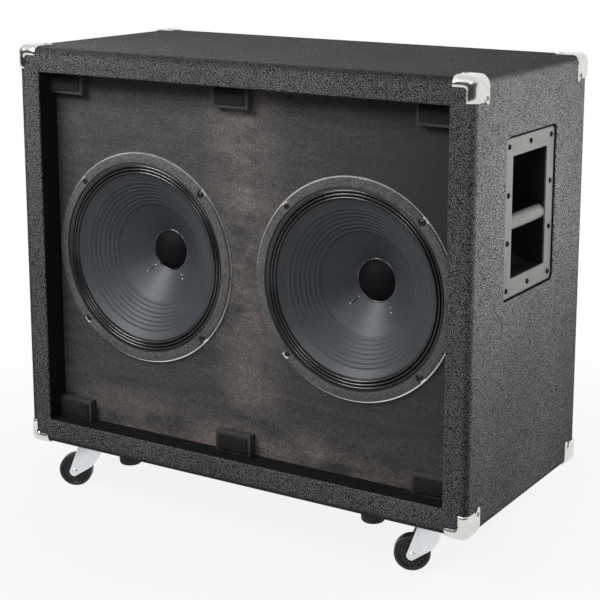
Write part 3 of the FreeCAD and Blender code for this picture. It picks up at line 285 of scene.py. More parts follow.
def wood_paint():
    """Dark stained ply with a streaky figure, worn brown patches, and darker towards the top right."""
    paint = Paint("stained_ply", roughness=0.72, specular=0.25)
    streaks = paint.noise(14.0, 6.0, 0.65, (0.6, 1.0, 9.0), 1.6)
    figure = paint.noise(5.0, 5.0, 0.6, (0.7, 1.0, 3.2), 3.5)
    pores = paint.noise(480.0, 3.0, 0.7, (0.7, 1.0, 1.0))
    stain = paint.ramp(streaks, [(0.30, (0.027, 0.027, 0.030)), (0.70, (0.068, 0.065, 0.066))])
    swirl = paint.ramp(figure, [(0.34, (0.027, 0.027, 0.030)), (0.66, (0.066, 0.063, 0.064))])
    stained = paint.mixed(0.5, stain, swirl)
    low = paint.span(paint.axis("Z"), *WORN_FOOT, 1.0, 0.0)
    middle = paint.span(paint.math("ABSOLUTE", paint.axis("X"), 0.0), *WORN_MIDDLE, 0.75, 0.0)
    blotches = paint.span(paint.noise(9.0, 6.0, 0.7, (1.0, 1.0, 1.8)), 0.40, 0.70)
    worn = paint.math("MULTIPLY", paint.math("MAXIMUM", low, middle), blotches)
    brown = paint.mixed(worn, stained, WORN_BROWN)
    dotted = paint.ramp(pores, [(0.34, grey(0.48)), (0.50, grey(1.0)), (0.66, grey(1.55))])
    # Darker towards the top right of the baffle, under the top band and beside the right side.
    top_right_darkening = paint.math("MULTIPLY", paint.span(paint.axis("X"), *DARKENING_ACROSS, 0.0, 0.91),
                        paint.span(paint.axis("Z"), *DARKENING_UP, 0.3, 1.0))
    paint.color(paint.mixed(top_right_darkening, paint.mixed(1.0, brown, dotted, "MULTIPLY"), grey(0.012)))
    paint.rough(streaks, 0.62, 0.82)
    paint.bump(pores, 0.35, 0.25 * MM)
    paint.bump(streaks, 0.2, 0.3 * MM)
    return paint.material


def metal_paint(name, color, gloss, scratches=0.08, grain=90.0):
    """Bare or plated metal with uneven polish and fine scratches."""
    paint = Paint(name, color, metallic=1.0)
    clouds = paint.noise(grain, 5.0, 0.65)
    lines = paint.noise(900.0, 2.0, 0.5, (1.0, 0.06, 0.25))
    tint = paint.ramp(clouds, [(0.3, grey(0.86)), (0.65, grey(1.0))])
    paint.color(paint.mixed(1.0, color, tint, "MULTIPLY"))
    paint.rough(clouds, *gloss)
    paint.bump(lines, scratches, 0.1 * MM)
    return paint.material


def coat_paint(name, dark, light, gloss, grain=700.0, relief=0.2, metallic=0.0, specular=0.4):
    """Painted, moulded or rubber surface with a fine texture and cloudy tone."""
    paint = Paint(name, metallic=metallic, specular=specular)
    clouds = paint.noise(24.0, 4.0)
    texture = paint.noise(grain, 3.0, 0.6)
    paint.color(paint.ramp(clouds, [(0.3, dark), (0.7, light)]))
    paint.rough(clouds, *gloss)
    paint.bump(texture, relief, 0.25 * MM)
    return paint.material


def fibre_paint(name, dark, light, gloss=(0.78, 0.95), speckle=900.0, relief=0.4, specular=0.08):
    """Pressed fibre, felt or paper with specks."""
    paint = Paint(name, specular=specular)
    specks = paint.noise(speckle, 4.0, 0.75)
    clouds = paint.noise(18.0, 3.0)
    tone = paint.ramp(specks, [(0.34, dark), (0.62, light)])
    cloudy = paint.ramp(clouds, [(0.3, grey(0.86)), (0.7, grey(1.08))])
    paint.color(paint.mixed(1.0, tone, cloudy, "MULTIPLY"))
    paint.rough(specks, *gloss)
    paint.bump(specks, relief, 0.3 * MM)
    return paint.material


def woven_paint(name, dark, light, gloss=(0.5, 0.7), threads=1100.0, relief=0.3, specular=0.4):
    """Treated cloth with crossing threads."""
    paint = Paint(name, specular=specular)
    waves = []
    for direction in ("X", "Z"):
        values = {"Vector": paint.place(), "Scale": threads / BANDS_PER_SCALE, "Distortion": 0.6}
        waves.append(paint.add("ShaderNodeTexWave", values, bands_direction=direction).outputs["Fac"])
    weave = paint.math("MULTIPLY", *waves)
    paint.color(paint.ramp(weave, [(0.1, dark), (0.6, light)]))
    paint.rough(paint.noise(60.0), *gloss)
    paint.bump(weave, relief, 0.2 * MM)
    return paint.material


def ply_paint():
    """Raw plywood: thin layers and a streaky face."""
    paint = Paint("raw_ply", roughness=0.75)
    streaks = paint.noise(18.0, 5.0, 0.6, (0.4, 1.0, 6.0), 1.0)
    layers = paint.noise(380.0, 1.0, 0.5, (0.05, 1.0, 0.05))
    tone = paint.ramp(streaks, [(0.3, (0.34, 0.22, 0.12)), (0.7, (0.52, 0.37, 0.22))])
    layered = paint.ramp(layers, [(0.4, (0.25, 0.16, 0.09)), (0.6, (0.55, 0.4, 0.25))])
    paint.color(paint.mixed(0.35, tone, layered))
    paint.bump(streaks, 0.2, 0.3 * MM)
    return paint.material


# Ends of the grain's tone, spread wide as painted shade in the creases and painted sheen on the pebbles.
VINYL = vinyl_paint("grained_vinyl", grey(0.008), grey(0.164, (1.0, 1.0, 1.01)))
# Near-black vinyl on the front recess's inner walls and in the handle pockets: painted shade, standing in
# for the shade that falls there.
PAINTED_RECESS_SHADE = vinyl_paint("recess_shade_vinyl", grey(0.004), grey(0.012, (0.95, 0.95, 1.1)))
WOOD = wood_paint()
PLY = ply_paint()
NICKEL = metal_paint("nickel", (0.75, 0.735, 0.70), (0.10, 0.19), scratches=0.02)
ZINC = metal_paint("zinc_plate", (0.80, 0.83, 0.85), (0.24, 0.40), scratches=0.10, grain=60.0)
STEEL = metal_paint("pressed_steel", (0.84, 0.82, 0.77), (0.34, 0.50), scratches=0.05)
COPPER = metal_paint("copper", (0.72, 0.36, 0.20), (0.25, 0.4))
HANDLE = coat_paint("handle_paint", (0.096, 0.093, 0.089), (0.120, 0.117, 0.111), (0.36, 0.46),
                    grain=1200.0, relief=0.12, metallic=0.35)
DISH = coat_paint("dish_black", grey(0.0015), grey(0.0035), (0.4, 0.55), specular=0.1)
DULL_STEEL = metal_paint("dull_steel", (0.36, 0.35, 0.335), (0.22, 0.34))
BLACK_OXIDE = coat_paint("black_oxide", grey(0.002), grey(0.004), (0.3, 0.45),
                         grain=500.0, relief=0.1, specular=0.1)
BLACK_STEEL = coat_paint("black_steel", grey(0.012), grey(0.022), (0.28, 0.42),
                         grain=500.0, relief=0.1, metallic=0.3)
RUBBER = coat_paint("rubber", grey(0.014), grey(0.026), (0.62, 0.8), grain=500.0, relief=0.35)
WHEEL = coat_paint("wheel_polymer", grey(0.005), grey(0.011), (0.30, 0.45), grain=400.0, relief=0.12)
BLOCK = coat_paint("block_paint", grey(0.016, (1, 1, 1.1)), grey(0.034, (1, 1, 1.08)), (0.55, 0.75),
                   grain=260.0, relief=0.4)
PLASTIC = coat_paint("moulded_black", grey(0.012), grey(0.022), (0.4, 0.55), grain=800.0, relief=0.3)
MAGNET = coat_paint("ferrite", grey(0.03), grey(0.05), (0.5, 0.7), grain=300.0, relief=0.4)
PHENOLIC = coat_paint("phenolic", (0.10, 0.05, 0.025), (0.15, 0.075, 0.04), (0.5, 0.65))
WIRE = coat_paint("wire_jacket", grey(0.012), grey(0.022), (0.4, 0.5))
PAD = fibre_paint("hook_pad", grey(0.006), grey(0.030), speckle=1400.0, relief=0.8)
GASKET = fibre_paint("gasket_fibre", grey(0.016), grey(0.158), speckle=620.0)
CONE = fibre_paint("cone_paper", (0.0245, 0.029, 0.033), (0.049, 0.056, 0.0635), (0.40, 0.52),
                   speckle=700.0, relief=0.15, specular=0.3)
DUST = fibre_paint("dust_cap_felt", (0.003, 0.003, 0.004), (0.008, 0.0075, 0.0095), (0.5, 0.65),
                   speckle=1500.0, relief=0.3, specular=0.06)
SURROUND = woven_paint("surround_cloth", grey(0.005), grey(0.014), (0.14, 0.24),
                       threads=1300.0, relief=0.1, specular=0.6)
SPIDER = woven_paint("spider_cloth", (0.30, 0.19, 0.07), (0.48, 0.32, 0.13), threads=1300.0)
GLUE = coat_paint("glue", grey(0.012), grey(0.020), (0.15, 0.25), grain=200.0, specular=0.9)
SOLDER = metal_paint("solder", (0.36, 0.36, 0.37), (0.28, 0.42))
TINSEL = woven_paint("tinsel_braid", (0.42, 0.21, 0.10), (0.74, 0.40, 0.22), (0.3, 0.45),
                     threads=2400.0, relief=0.5, specular=0.5)
LEAD_SLEEVE = coat_paint("lead_sleeve", grey(0.006), grey(0.012), (0.4, 0.5))


# Piece helpers, with crease angles in degrees

CAD_WELD = 0.004 * MM
TURNED_WELD = 0.002 * MM
SOFT_CREASE = 50.0
BEVEL_ANGLE = 35.0


def body_of(node):
    """Body that carries a CAD node."""
    return nodes[node]["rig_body"]


def shaded(mesh, sharp):
    """Smooth shading, apart from edges that turn more than an angle."""
    mesh.shade_smooth()
    mesh.set_sharp_from_angle(angle=math.radians(sharp))


def finished(name, shape, paint, body, replaced=(), sharp=38.0):
    """Turn a bmesh into a smooth-shaded piece on a body."""
    mesh = bpy.data.meshes.new(name)
    shape.to_mesh(mesh)
    shape.free()
    mesh.materials.append(paint)
    shaded(mesh, sharp)
    piece = bpy.data.objects.new(name, mesh)
    scene.collection.objects.link(piece)
    if body:
        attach(piece, body)
    if replaced:
        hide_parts(*replaced)
    return piece


def modified(piece, kind, **settings):
    """Add a modifier and apply it to the mesh."""
    modifier = piece.modifiers.new(kind.lower(), kind)
    for key, value in settings.items():
        setattr(modifier, key, value)
    bpy.context.view_layer.update()
    result = piece.evaluated_get(bpy.context.evaluated_depsgraph_get())
    mesh = bpy.data.meshes.new_from_object(result)
    piece.modifiers.clear()
    old, piece.data = piece.data, mesh
    bpy.data.meshes.remove(old)


def cut(piece, shape):
    """Take a shape away from a piece."""
    tool = finished("tool", shape, piece.data.materials[0], None)
    modified(piece, "BOOLEAN", operation="DIFFERENCE", object=tool, solver="EXACT")
    bpy.data.objects.remove(tool)


def cleaned(node):
    """Copy of a node's mesh with whole flat faces instead of triangles."""
    shape = bmesh.new()
    shape.from_mesh(nodes[node].data)
    bmesh.ops.remove_doubles(shape, verts=shape.verts, dist=CAD_WELD)
    bmesh.ops.dissolve_limit(shape, angle_limit=math.radians(1.0), verts=shape.verts, edges=shape.edges)
    return shape


def softened(node, paint, slot, width):
    """A node's shape with its sharp edges rounded."""
    piece = finished("worn_" + node, cleaned(node), paint, body_of(node), [node])
    modified(piece, "BEVEL", width=width, segments=3, limit_method="ANGLE",
             angle_limit=math.radians(BEVEL_ANGLE))
    shaded(piece.data, SOFT_CREASE)


def loft(shape, loops, closed_loops=True, closed_path=False):
    """Faces between neighbouring loops of equally many points."""
    rings = [[shape.verts.new(point) for point in loop] for loop in loops]
    pairs = list(zip(rings, rings[1:]))
    if closed_path:
        pairs.append((rings[-1], rings[0]))
    for ring, following in pairs:
        count = len(ring)
        for i in range(count if closed_loops else count - 1):
            j = (i + 1) % count
            shape.faces.new((ring[i], ring[j], following[j], following[i]))
    return rings


def skin(loops, capped=False):
    """Closed skin along loops: the last joins the first, or both get a face."""
    shape = bmesh.new()
    rings = loft(shape, loops, closed_path=not capped)
    if capped:
        for ring in (rings[0], rings[-1]):
            shape.faces.new(ring)
    bmesh.ops.recalc_face_normals(shape, faces=shape.faces)
    return shape


def turned(profile, segments, start=0.0, sweep=2 * math.pi):
    """Shape turned about z from (radius, height) points, closed at its ends."""
    shape = bmesh.new()
    whole = abs(sweep - 2 * math.pi) < 1e-6
    angles = [start + sweep * i / segments for i in range(segments if whole else segments + 1)]
    loops = [[(radius * math.cos(angle), radius * math.sin(angle), height) for angle in angles]
             for radius, height in profile]
    loft(shape, loops, closed_loops=whole)
    bmesh.ops.remove_doubles(shape, verts=shape.verts, dist=TURNED_WELD)
    if not whole:
        open_ends = [edge for edge in shape.edges if edge.is_boundary]
        bmesh.ops.holes_fill(shape, edges=open_ends, sides=0)
    bmesh.ops.recalc_face_normals(shape, faces=shape.faces)
    return shape


def merged(shapes):
    """One bmesh from several."""
    whole = bmesh.new()
    for shape in shapes:
        mesh = bpy.data.meshes.new("part")
        shape.to_mesh(mesh)
        shape.free()
        whole.from_mesh(mesh)
        bpy.data.meshes.remove(mesh)
    return whole


def moved(shape, matrix):
    """The same shape, moved by a matrix."""
    bmesh.ops.transform(shape, matrix=matrix, verts=shape.verts)
    return shape


def islands(node):
    """Points of each separate solid of a node, as one list for each."""
    shape = cleaned(node)
    found = set()
    groups = []
    for first in shape.verts:
        group = [] if first in found else [first]
        found.add(first)
        for vert in group:
            beside = [edge.other_vert(vert) for edge in vert.link_edges]
            fresh = [other for other in beside if other not in found]
            found.update(fresh)
            group += fresh
        if group:
            groups.append([vert.co.copy() for vert in group])
    shape.free()
    return groups


def limits(points):
    """Lowest and highest corner round some points."""
    return [Vector(pick(point[i] for point in points) for i in range(3)) for pick in (min, max)]


# Covering: closed skin swept round the box, with both recesses and the handle windows

LIP = 2.2 * MM
EDGE = 9.0 * MM
SKIN = 0.8 * MM
RECESS_CORNER = 0.6 * MM
LEAST_CORNER = 0.3 * MM
BACK_LAP = 0.5 * MM
FLOOR_LAP = 0.05 * MM
ARC_STEPS = 7
LIP_STEPS = 4
LINING_STEPS = 5
POCKET_GAP = 3.4 * MM
POCKET_CORNER = 9.4 * MM
POCKET_LAP = 5.0 * MM

box_low, box_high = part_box("vinyl_covering")
baffle_low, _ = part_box("baffle")
_, back_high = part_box("back_panel")
_, block_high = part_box("grille_blocks")
FRONT_BAND = box_high.x - block_high.x
BACK_BAND = (box_high.x - back_high.x) + BACK_LAP


def rounded_outline(low, high, corner):
    """Points (across, up) round a rectangle with rounded corners."""
    centres = [(high[0] - corner, high[1] - corner, 0), (low[0] + corner, high[1] - corner, 90),
               (low[0] + corner, low[1] + corner, 180), (high[0] - corner, low[1] + corner, 270)]
    points = []
    for across, up, turn in centres:
        for i in range(ARC_STEPS + 1):
            angle = math.radians(turn + 90 * i / ARC_STEPS)
            points.append((across + corner * math.cos(angle), up + corner * math.sin(angle)))
    return points


def rounded_loop(inset, corner, y):
    """Loop round the box, moved in from its outside, in the plane of the front."""
    low = (box_low.x + inset, box_low.z + inset)
    high = (box_high.x - inset, box_high.z - inset)
    return [(x, y, z) for x, z in rounded_outline(low, high, corner)]


def pocket_loop(plate, grow, x):
    """Loop round a handle plate and the gap beside it, in a plane of the side."""
    room = POCKET_GAP + grow
    low = (plate[0].y - room, plate[0].z - room)
    high = (plate[1].y + room, plate[1].z + room)
    return [(x, y, z) for y, z in rounded_outline(low, high, POCKET_CORNER + grow)]


def quarter(steps):
    """Angles from zero to a right angle."""
    return [math.radians(90 * i / steps) for i in range(steps + 1)]


def edge_path(band, bottom, face, inward):
    """Section from a recess's bottom over its lip and the box's edge, as inset, corner and y."""
    path = [(band, RECESS_CORNER, bottom)]
    for angle in quarter(LIP_STEPS):
        drop = LIP - LIP * math.cos(angle)
        path.append((band - drop, RECESS_CORNER + drop, face + inward * (LIP - LIP * math.sin(angle))))
    for angle in quarter(ARC_STEPS):
        rise = EDGE * math.sin(angle)
        path.append((EDGE - rise, rise, face + inward * (EDGE - EDGE * math.cos(angle))))
    return path


def covering_loops():
    """Loops along the closed section of the skin: out over the edges, and back inside."""
    front, back = box_low.y, box_high.y
    path = edge_path(FRONT_BAND, baffle_low.y, front, 1)
    path += reversed(edge_path(BACK_BAND, back_high.y, back, -1))
    path += [(BACK_BAND - SKIN, RECESS_CORNER, y) for y in (back_high.y, back - EDGE)]
    path += [(SKIN, EDGE, y) for y in (back - EDGE, front + EDGE)]
    path += [(FRONT_BAND - SKIN, RECESS_CORNER, y) for y in (front + EDGE, baffle_low.y)]
    return [rounded_loop(inset, max(corner, LEAST_CORNER), y) for inset, corner, y in path]


handle_places = [(limits(points), 1 if points[0].x > 0 else -1) for points in islands("handle_plates")]


def pocket_linings():
    """Covering turned down into the handle pockets and in under the plates, with painted shade: near-black
    vinyl on the pocket walls.
    """
    shapes = []
    side = box_high.x
    for plate, outward in handle_places:
        level = min(abs(plate[0].x), abs(plate[1].x)) - FLOOR_LAP
        lap = -POCKET_GAP - POCKET_LAP
        path = [(LIP - LIP * math.sin(angle), side - LIP + LIP * math.cos(angle))
                for angle in quarter(LINING_STEPS)]
        path += [(0.0, level), (lap, level), (lap, level - SKIN), (SKIN, level - SKIN),
                 (SKIN, side - LIP), (LIP, side - SKIN)]
        shapes.append(skin([pocket_loop(plate, grow, outward * x) for grow, x in path]))
    piece = finished("pocket_linings", merged(shapes), VINYL, "cabinet", ["vinyl_covering"],
                     SOFT_CREASE)
    # Painted shade: faces inside the pocket take the near-black recess vinyl.
    piece.data.materials.append(PAINTED_RECESS_SHADE)
    for face in piece.data.polygons:
        face.material_index = 1 if abs(face.center.x) < side - LIP else 0


def covering():
    """Skin of the whole box, cut open at the handles, with painted shade inside the front recess: near-black
    vinyl on its walls.
    """
    piece = finished("covering", skin(covering_loops()), VINYL, None)
    piece.data.materials.append(PAINTED_RECESS_SHADE)
    for plate, outward in handle_places:
        ends = [outward * box_high.x - 2 * EDGE, outward * box_high.x + 2 * EDGE]
        cut(piece, skin([pocket_loop(plate, LIP, x) for x in ends], capped=True))
    # Painted shade: faces inside the front recess take the near-black recess vinyl.
    band = FRONT_BAND - LIP / 4
    for face in piece.data.polygons:
        x, y, z = face.center
        deep = box_low.y + LIP < y < baffle_low.y + LIP
        within = abs(x) < box_high.x - band and box_low.z + band < z < box_high.z - band
        face.material_index = 1 if deep and within else 0
    shaded(piece.data, SOFT_CREASE)
    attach(piece, "cabinet")
    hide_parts("vinyl_covering")


covering()
pocket_linings()


# Screws with crossed slots, one at the place of every CAD screw

SLOT_WIDTH = 1.0 * MM
SLOT_LENGTH = 4.4 * MM
SLOT_TURNS = (45.0, 135.0)
SLOT_SHARE = 1.1
SHANK_SHARE = 0.45
SIDE_SHARE = 0.32
RIM_SHARE = 0.9
HEAD_ROUNDING = 0.75
HEAD_STEPS = 6
HEAD_SIDES = 20
TWIST_STEP = 37.0
SLIVER = 0.01 * MM


def facing(points):
    """Seat middle, head direction, head radius and head height of a screw, from its points."""
    low, high = limits(points)
    size = high - low
    axis = max(range(3), key=lambda i: size[i])
    across = [i for i in range(3) if i != axis]
    middle = (low + high) / 2
    wide = max(size[i] for i in across) / 2
    broad = [point[axis] for point in points
             if math.hypot(*(point[i] - middle[i] for i in across)) > RIM_SHARE * wide]
    seat_level = sum(broad) / len(broad)
    up = 1.0 if seat_level > middle[axis] else -1.0
    end = high[axis] if up > 0 else low[axis]
    direction = Vector([up if i == axis else 0.0 for i in range(3)])
    seat = middle.copy()
    seat[axis] = seat_level
    return seat, direction, wide, abs(end - seat_level)


def head_shape(radius, height, shank):
    """Pan head with a rounded rim over a short shank."""
    thin = SHANK_SHARE * radius
    side = SIDE_SHARE * height
    profile = [(0.0, -shank), (thin, -shank), (thin, 0.0), (radius, 0.0), (radius, side)]
    profile += [(radius * math.cos(angle) ** HEAD_ROUNDING, side + (height - side) * math.sin(angle))
                for angle in quarter(HEAD_STEPS)[1:-1]]
    profile.append((0.0, height))
    return turned(profile, HEAD_SIDES)


def screws(node, paint, slot, shank):
    """Detailed screws for a whole group, each turned a little further than the last."""
    spots = [facing(points) for points in islands(node)]
    _, _, radius, height = spots[0]
    pattern = finished("screw_pattern", head_shape(radius, height, shank), paint, None)
    for turn in SLOT_TURNS:
        cutter = bmesh.new()
        bmesh.ops.create_cube(cutter, size=1.0)
        moved(cutter, Matrix.Translation((0, 0, height)) @ Matrix.Rotation(math.radians(turn), 4, "Z")
              @ Matrix.Diagonal((SLOT_LENGTH, SLOT_WIDTH, SLOT_SHARE * height, 1.0)))
        cut(pattern, cutter)
    whole = bmesh.new()
    for i, (seat, direction, _, _) in enumerate(spots):
        twist = Matrix.Rotation(math.radians(TWIST_STEP * i), 4, "Z")
        turn = Vector((0, 0, 1)).rotation_difference(direction).to_matrix().to_4x4()
        start = len(whole.verts)
        whole.from_mesh(pattern.data)
        whole.verts.ensure_lookup_table()
        bmesh.ops.transform(whole, matrix=Matrix.Translation(seat) @ turn @ twist, verts=whole.verts[start:])
    bpy.data.objects.remove(pattern)
    bmesh.ops.dissolve_degenerate(whole, edges=whole.edges, dist=SLIVER)
    finished("detailed_" + node, whole, paint, body_of(node), [node], 35.0)


# Each group's node, finish, slot and shank
SCREW_GROUPS = (
    ("corner_screws", DULL_STEEL, "nickel", 6.0 * MM),
    ("handle_screws", BLACK_OXIDE, "black_screw", 6.0 * MM),
    ("foot_screws", BLACK_STEEL, "black_screw", 6.0 * MM),
    ("caster_screws", BLACK_STEEL, "black_screw", 6.0 * MM),
    ("back_panel_screws", DULL_STEEL, "black_screw", 6.0 * MM),
    ("jack_dish_screws", DULL_STEEL, "black_screw", 6.0 * MM),
    ("speaker_bolts", BLACK_STEEL, "black_screw", 12.0 * MM),
)
for group in SCREW_GROUPS:
    screws(*group)


# Blocks, back, handle plates and dishes, jacks and casters: CAD shapes with worn edges

# Each piece's node, finish, slot and width of the worn edge
WORN_PIECES = (
    ("grille_blocks", BLOCK, "grille_block", 0.8 * MM),
    ("grille_pads", PAD, "grille_pad", 0.9 * MM),
    ("back_panel", VINYL, "back_board", 1.5 * MM),
    ("handle_plates", HANDLE, "handle_metal", 0.9 * MM),
    ("handle_dishes", DISH, "handle_dish", 0.5 * MM),
    ("jack_dish", PLASTIC, "jack_dish", 0.8 * MM),
    ("jack_sockets", BLACK_STEEL, "jack", 0.4 * MM),
    ("caster_plates", ZINC, "zinc", 0.4 * MM),
)
for worn_piece in WORN_PIECES:
    softened(*worn_piece)
for corner in CORNERS:
    softened(f"caster_fork_{corner}", ZINC, "zinc", 0.5 * MM)
    softened(f"caster_axle_{corner}", ZINC, "zinc", 0.3 * MM)


# Corner caps: pressed sheet that swells between its edges

CAP_SWELL = 1.7 * MM
CAP_SHOULDER = 8.0 * MM
CAP_STEP = 1.5 * MM
CUT_WELD = 0.02 * MM
OUTER_SHARE = 0.85


def off_the_box(point):
    """Distance of a point outside the rounded box, and the way out."""
    inside = Vector(min(max(point[i], box_low[i] + EDGE), box_high[i] - EDGE) for i in range(3))
    away = point - inside
    return away.length - EDGE, away.normalized()


def sliced(shape, low, high, step):
    """Cut all faces along planes a step apart on the three axes."""
    for i in range(3):
        normal = [1.0 if k == i else 0.0 for k in range(3)]
        for k in range(1, int((high[i] - low[i]) / step) + 1):
            level = [low[j] + k * step if j == i else 0.0 for j in range(3)]
            every = list(shape.verts) + list(shape.edges) + list(shape.faces)
            bmesh.ops.bisect_plane(shape, geom=every, plane_co=level, plane_no=normal, dist=CUT_WELD)


def corner_cap(shape):
    """Swell the outer face of one cap, whose mesh is cut fine first."""
    low, high = limits([vert.co for vert in shape.verts])
    sliced(shape, low, high, CAP_STEP)
    proud = max(off_the_box(vert.co)[0] for vert in shape.verts)
    outer = [face for face in shape.faces
             if off_the_box(face.calc_center_median())[0] > OUTER_SHARE * proud]
    touched = set(outer)
    verts = {vert for face in outer for vert in face.verts}
    rim = [vert for vert in verts if any(face not in touched for face in vert.link_faces)]
    tree = KDTree(len(rim))
    for i, vert in enumerate(rim):
        tree.insert(vert.co, i)
    tree.balance()
    lifts = {}
    for vert in verts.difference(rim):
        inward = 1 - min(tree.find(vert.co)[2] / CAP_SHOULDER, 1.0)
        lifts[vert] = off_the_box(vert.co)[1] * CAP_SWELL * math.sqrt(1 - inward ** 2)
    for vert, lift in lifts.items():
        vert.co += lift
    return shape


def corner_caps():
    """The eight caps, each cut out of the node by its corner of the box."""
    whole = cleaned("corner_caps")
    middle = (box_low + box_high) / 2
    shapes = []
    for signs in ((x, y, z) for x in (-1, 1) for y in (-1, 1) for z in (-1, 1)):
        shape = whole.copy()
        others = [vert for vert in shape.verts
                  if any((vert.co[i] - middle[i]) * signs[i] < 0 for i in range(3))]
        bmesh.ops.delete(shape, geom=others, context="VERTS")
        shapes.append(corner_cap(shape))
    whole.free()
    finished("pressed_caps", merged(shapes), NICKEL, "cabinet", ["corner_caps"], 40.0)


corner_caps()


# Speakers, turned about their own axes

SEGMENTS = 144
RIB_COUNT = 7
RIB_PITCH = 5.6 * MM
RIB_HEIGHT = 0.9 * MM
RIB_EDGE = 13.0 * MM
CONE_WALL = 1.4 * MM
CONE_STEPS = 110
UNDER_STRIDE = 4
COIL_WALL = 0.7 * MM
DOME_STEPS = 24
DOME_WALL = 0.8 * MM
DOME_INSIDE = 0.965
BEAD_RADIUS = 1.3 * MM
BEAD_OUT = 0.3 * MM
BEAD_UP = 0.4 * MM
BEAD_FLATNESS = 0.8
BEAD_SIDES = 10
SECTORS = 16
SECTOR_STEPS = 9
CLOTH_WALL = 0.8 * MM
ROLL_STEPS = 10
ROLL_ROUNDING = 0.8
WAVE_STEPS = 40


def speaker_place(side):
    """Matrix from a speaker's own axis to the cabinet, with heights from the baffle front."""
    low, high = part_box(f"speaker_cone_{side}")
    centre = Vector(((low.x + high.x) / 2, baffle_low.y, (low.z + high.z) / 2))
    return Matrix.Translation(centre) @ Matrix.Rotation(math.radians(90), 4, "X")


def heights(node):
    """Lowest and highest place of a node along the speaker's axis."""
    low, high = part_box(node)
    return baffle_low.y - high.y, baffle_low.y - low.y


def outer_radius(node):
    """Radius of a node that is round about the speaker's axis."""
    low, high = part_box(node)
    return (high.x - low.x) / 2


def cone_slope(side):
    """A cone's outer radius, neck radius, edge height and fall towards the middle."""
    node = f"speaker_cone_{side}"
    radius = outer_radius(node)
    neck = outer_radius(f"voice_coil_{side}") - COIL_WALL
    deep, shallow = heights(node)
    return radius, neck, shallow, (shallow - deep - CONE_WALL) / (radius - neck)


def rib(offset, width):
    """Height of a smooth rib across its width."""
    return 0.5 + 0.5 * math.cos(math.pi * offset / width) if abs(offset) < width else 0.0


def cone(side):
    """Paper cone with smooth ribs."""
    radius, neck, shallow, fall = cone_slope(side)
    profile = []
    for i in range(CONE_STEPS + 1):
        r = neck + (radius - neck) * i / CONE_STEPS
        lift = sum(rib(r - (radius - RIB_EDGE - k * RIB_PITCH), RIB_PITCH / 2) for k in range(RIB_COUNT))
        profile.append((r, shallow - fall * (radius - r) + RIB_HEIGHT * lift))
    under = [(r, height - CONE_WALL) for r, height in reversed(profile[::UNDER_STRIDE])]
    shape = moved(turned(profile + under + profile[:1], SEGMENTS), speaker_place(side))
    finished(f"paper_cone_{side}", shape, CONE, f"cone_{side}", [f"speaker_cone_{side}"])


def dust_cap(side):
    """Domed cap, and its bead of glue on the cone."""
    node = f"speaker_dust_cap_{side}"
    radius = outer_radius(node)
    foot, crown = heights(node)
    rise = crown - foot
    curve = (radius ** 2 + rise ** 2) / (2 * rise)
    span = math.asin(radius / curve)
    angles = [span * i / DOME_STEPS for i in range(DOME_STEPS + 1)]
    dome = [(curve * math.sin(angle), crown - curve + curve * math.cos(angle)) for angle in angles]
    inside = [(r * DOME_INSIDE, height - DOME_WALL) for r, height in reversed(dome)]
    shape = turned(dome + inside, SEGMENTS)
    finished(f"felt_cap_{side}", moved(shape, speaker_place(side)), DUST, f"cone_{side}", [node])
    ring = []
    for i in range(BEAD_SIDES + 1):
        angle = 2 * math.pi * i / BEAD_SIDES
        ring.append((radius + BEAD_OUT + BEAD_RADIUS * math.cos(angle),
                     foot + BEAD_UP + BEAD_FLATNESS * BEAD_RADIUS * math.sin(angle)))
    glue = moved(turned(ring, SEGMENTS), speaker_place(side))
    finished(f"glue_bead_{side}", glue, GLUE, f"cone_{side}")


def sectors(label, node, side, profile, paint):
    """Flexible ring in sectors, each reaching from the cone to the cabinet."""
    sweep = 2 * math.pi / SECTORS
    place = speaker_place(side)
    below = [(r, height - CLOTH_WALL) for r, height in reversed(profile)]
    for i in range(SECTORS):
        shape = turned(profile + below + profile[:1], SECTOR_STEPS, sweep * i, sweep)
        piece = finished(f"{label}_{side}_{i:02d}", moved(shape, place), paint, None, [node])
        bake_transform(piece)


def surround(side):
    """Three doped rolls between the cone and the flange."""
    node = f"speaker_surround_{side}"
    outer = outer_radius(node)
    gap = 0.1 * MM
    inner = outer_radius(f"speaker_cone_{side}") + gap
    low, high = heights(node)
    rolls = 3
    edge = 1.3 * MM
    landing = 2.9 * MM
    pitch = (outer - landing - inner - edge) / rolls
    valley = low + CLOTH_WALL
    flange_level = 1.2 * MM + CLOTH_WALL
    profile = [(inner, valley), (inner + edge, valley)]
    for k in range(rolls):
        rise_end = flange_level if k == rolls - 1 else valley
        for i in range(1, ROLL_STEPS + 1):
            part = i / ROLL_STEPS
            base = valley + (rise_end - valley) * part if part > 0.5 else valley
            crest = (high - valley) * math.sin(math.pi * part) ** ROLL_ROUNDING
            profile.append((inner + edge + (k + part) * pitch, max(base, valley + crest)))
    profile.append((outer, flange_level))
    sectors("surround", node, side, profile, SURROUND)


def spider(side):
    """Corrugated centring disc behind the cone."""
    node = f"speaker_spider_{side}"
    outer = outer_radius(node)
    inner = outer_radius(f"voice_coil_{side}") - COIL_WALL
    low, high = heights(node)
    valley = low + CLOTH_WALL
    waves = 4
    landing = 10.0 * MM
    profile = []
    for i in range(WAVE_STEPS + 1):
        r = inner + (outer - landing - inner) * i / WAVE_STEPS
        phase = math.sin(math.pi * waves * i / WAVE_STEPS) ** 2
        profile.append((r, valley + (high - valley) * phase))
    profile.append((outer, valley))
    sectors("spider", node, side, profile, SPIDER)


# Each tab's turn about the axis in degrees, and the radii of its ends
LEAD_TABS = ((-135.0, 36.5 * MM, 49.0 * MM), (-52.0, 43.0 * MM, 49.0 * MM))
TAB_RADIUS = 1.1 * MM
TAB_ENDS = 0.75
TAB_STEPS = 8
TAB_SIDES = 10
SOLDER_RADIUS = 1.7 * MM
SOLDER_STEPS = 10
SOLDER_SIDES = 16
SOLDER_FORM = (1.0, 0.85, 0.7, 1.0)


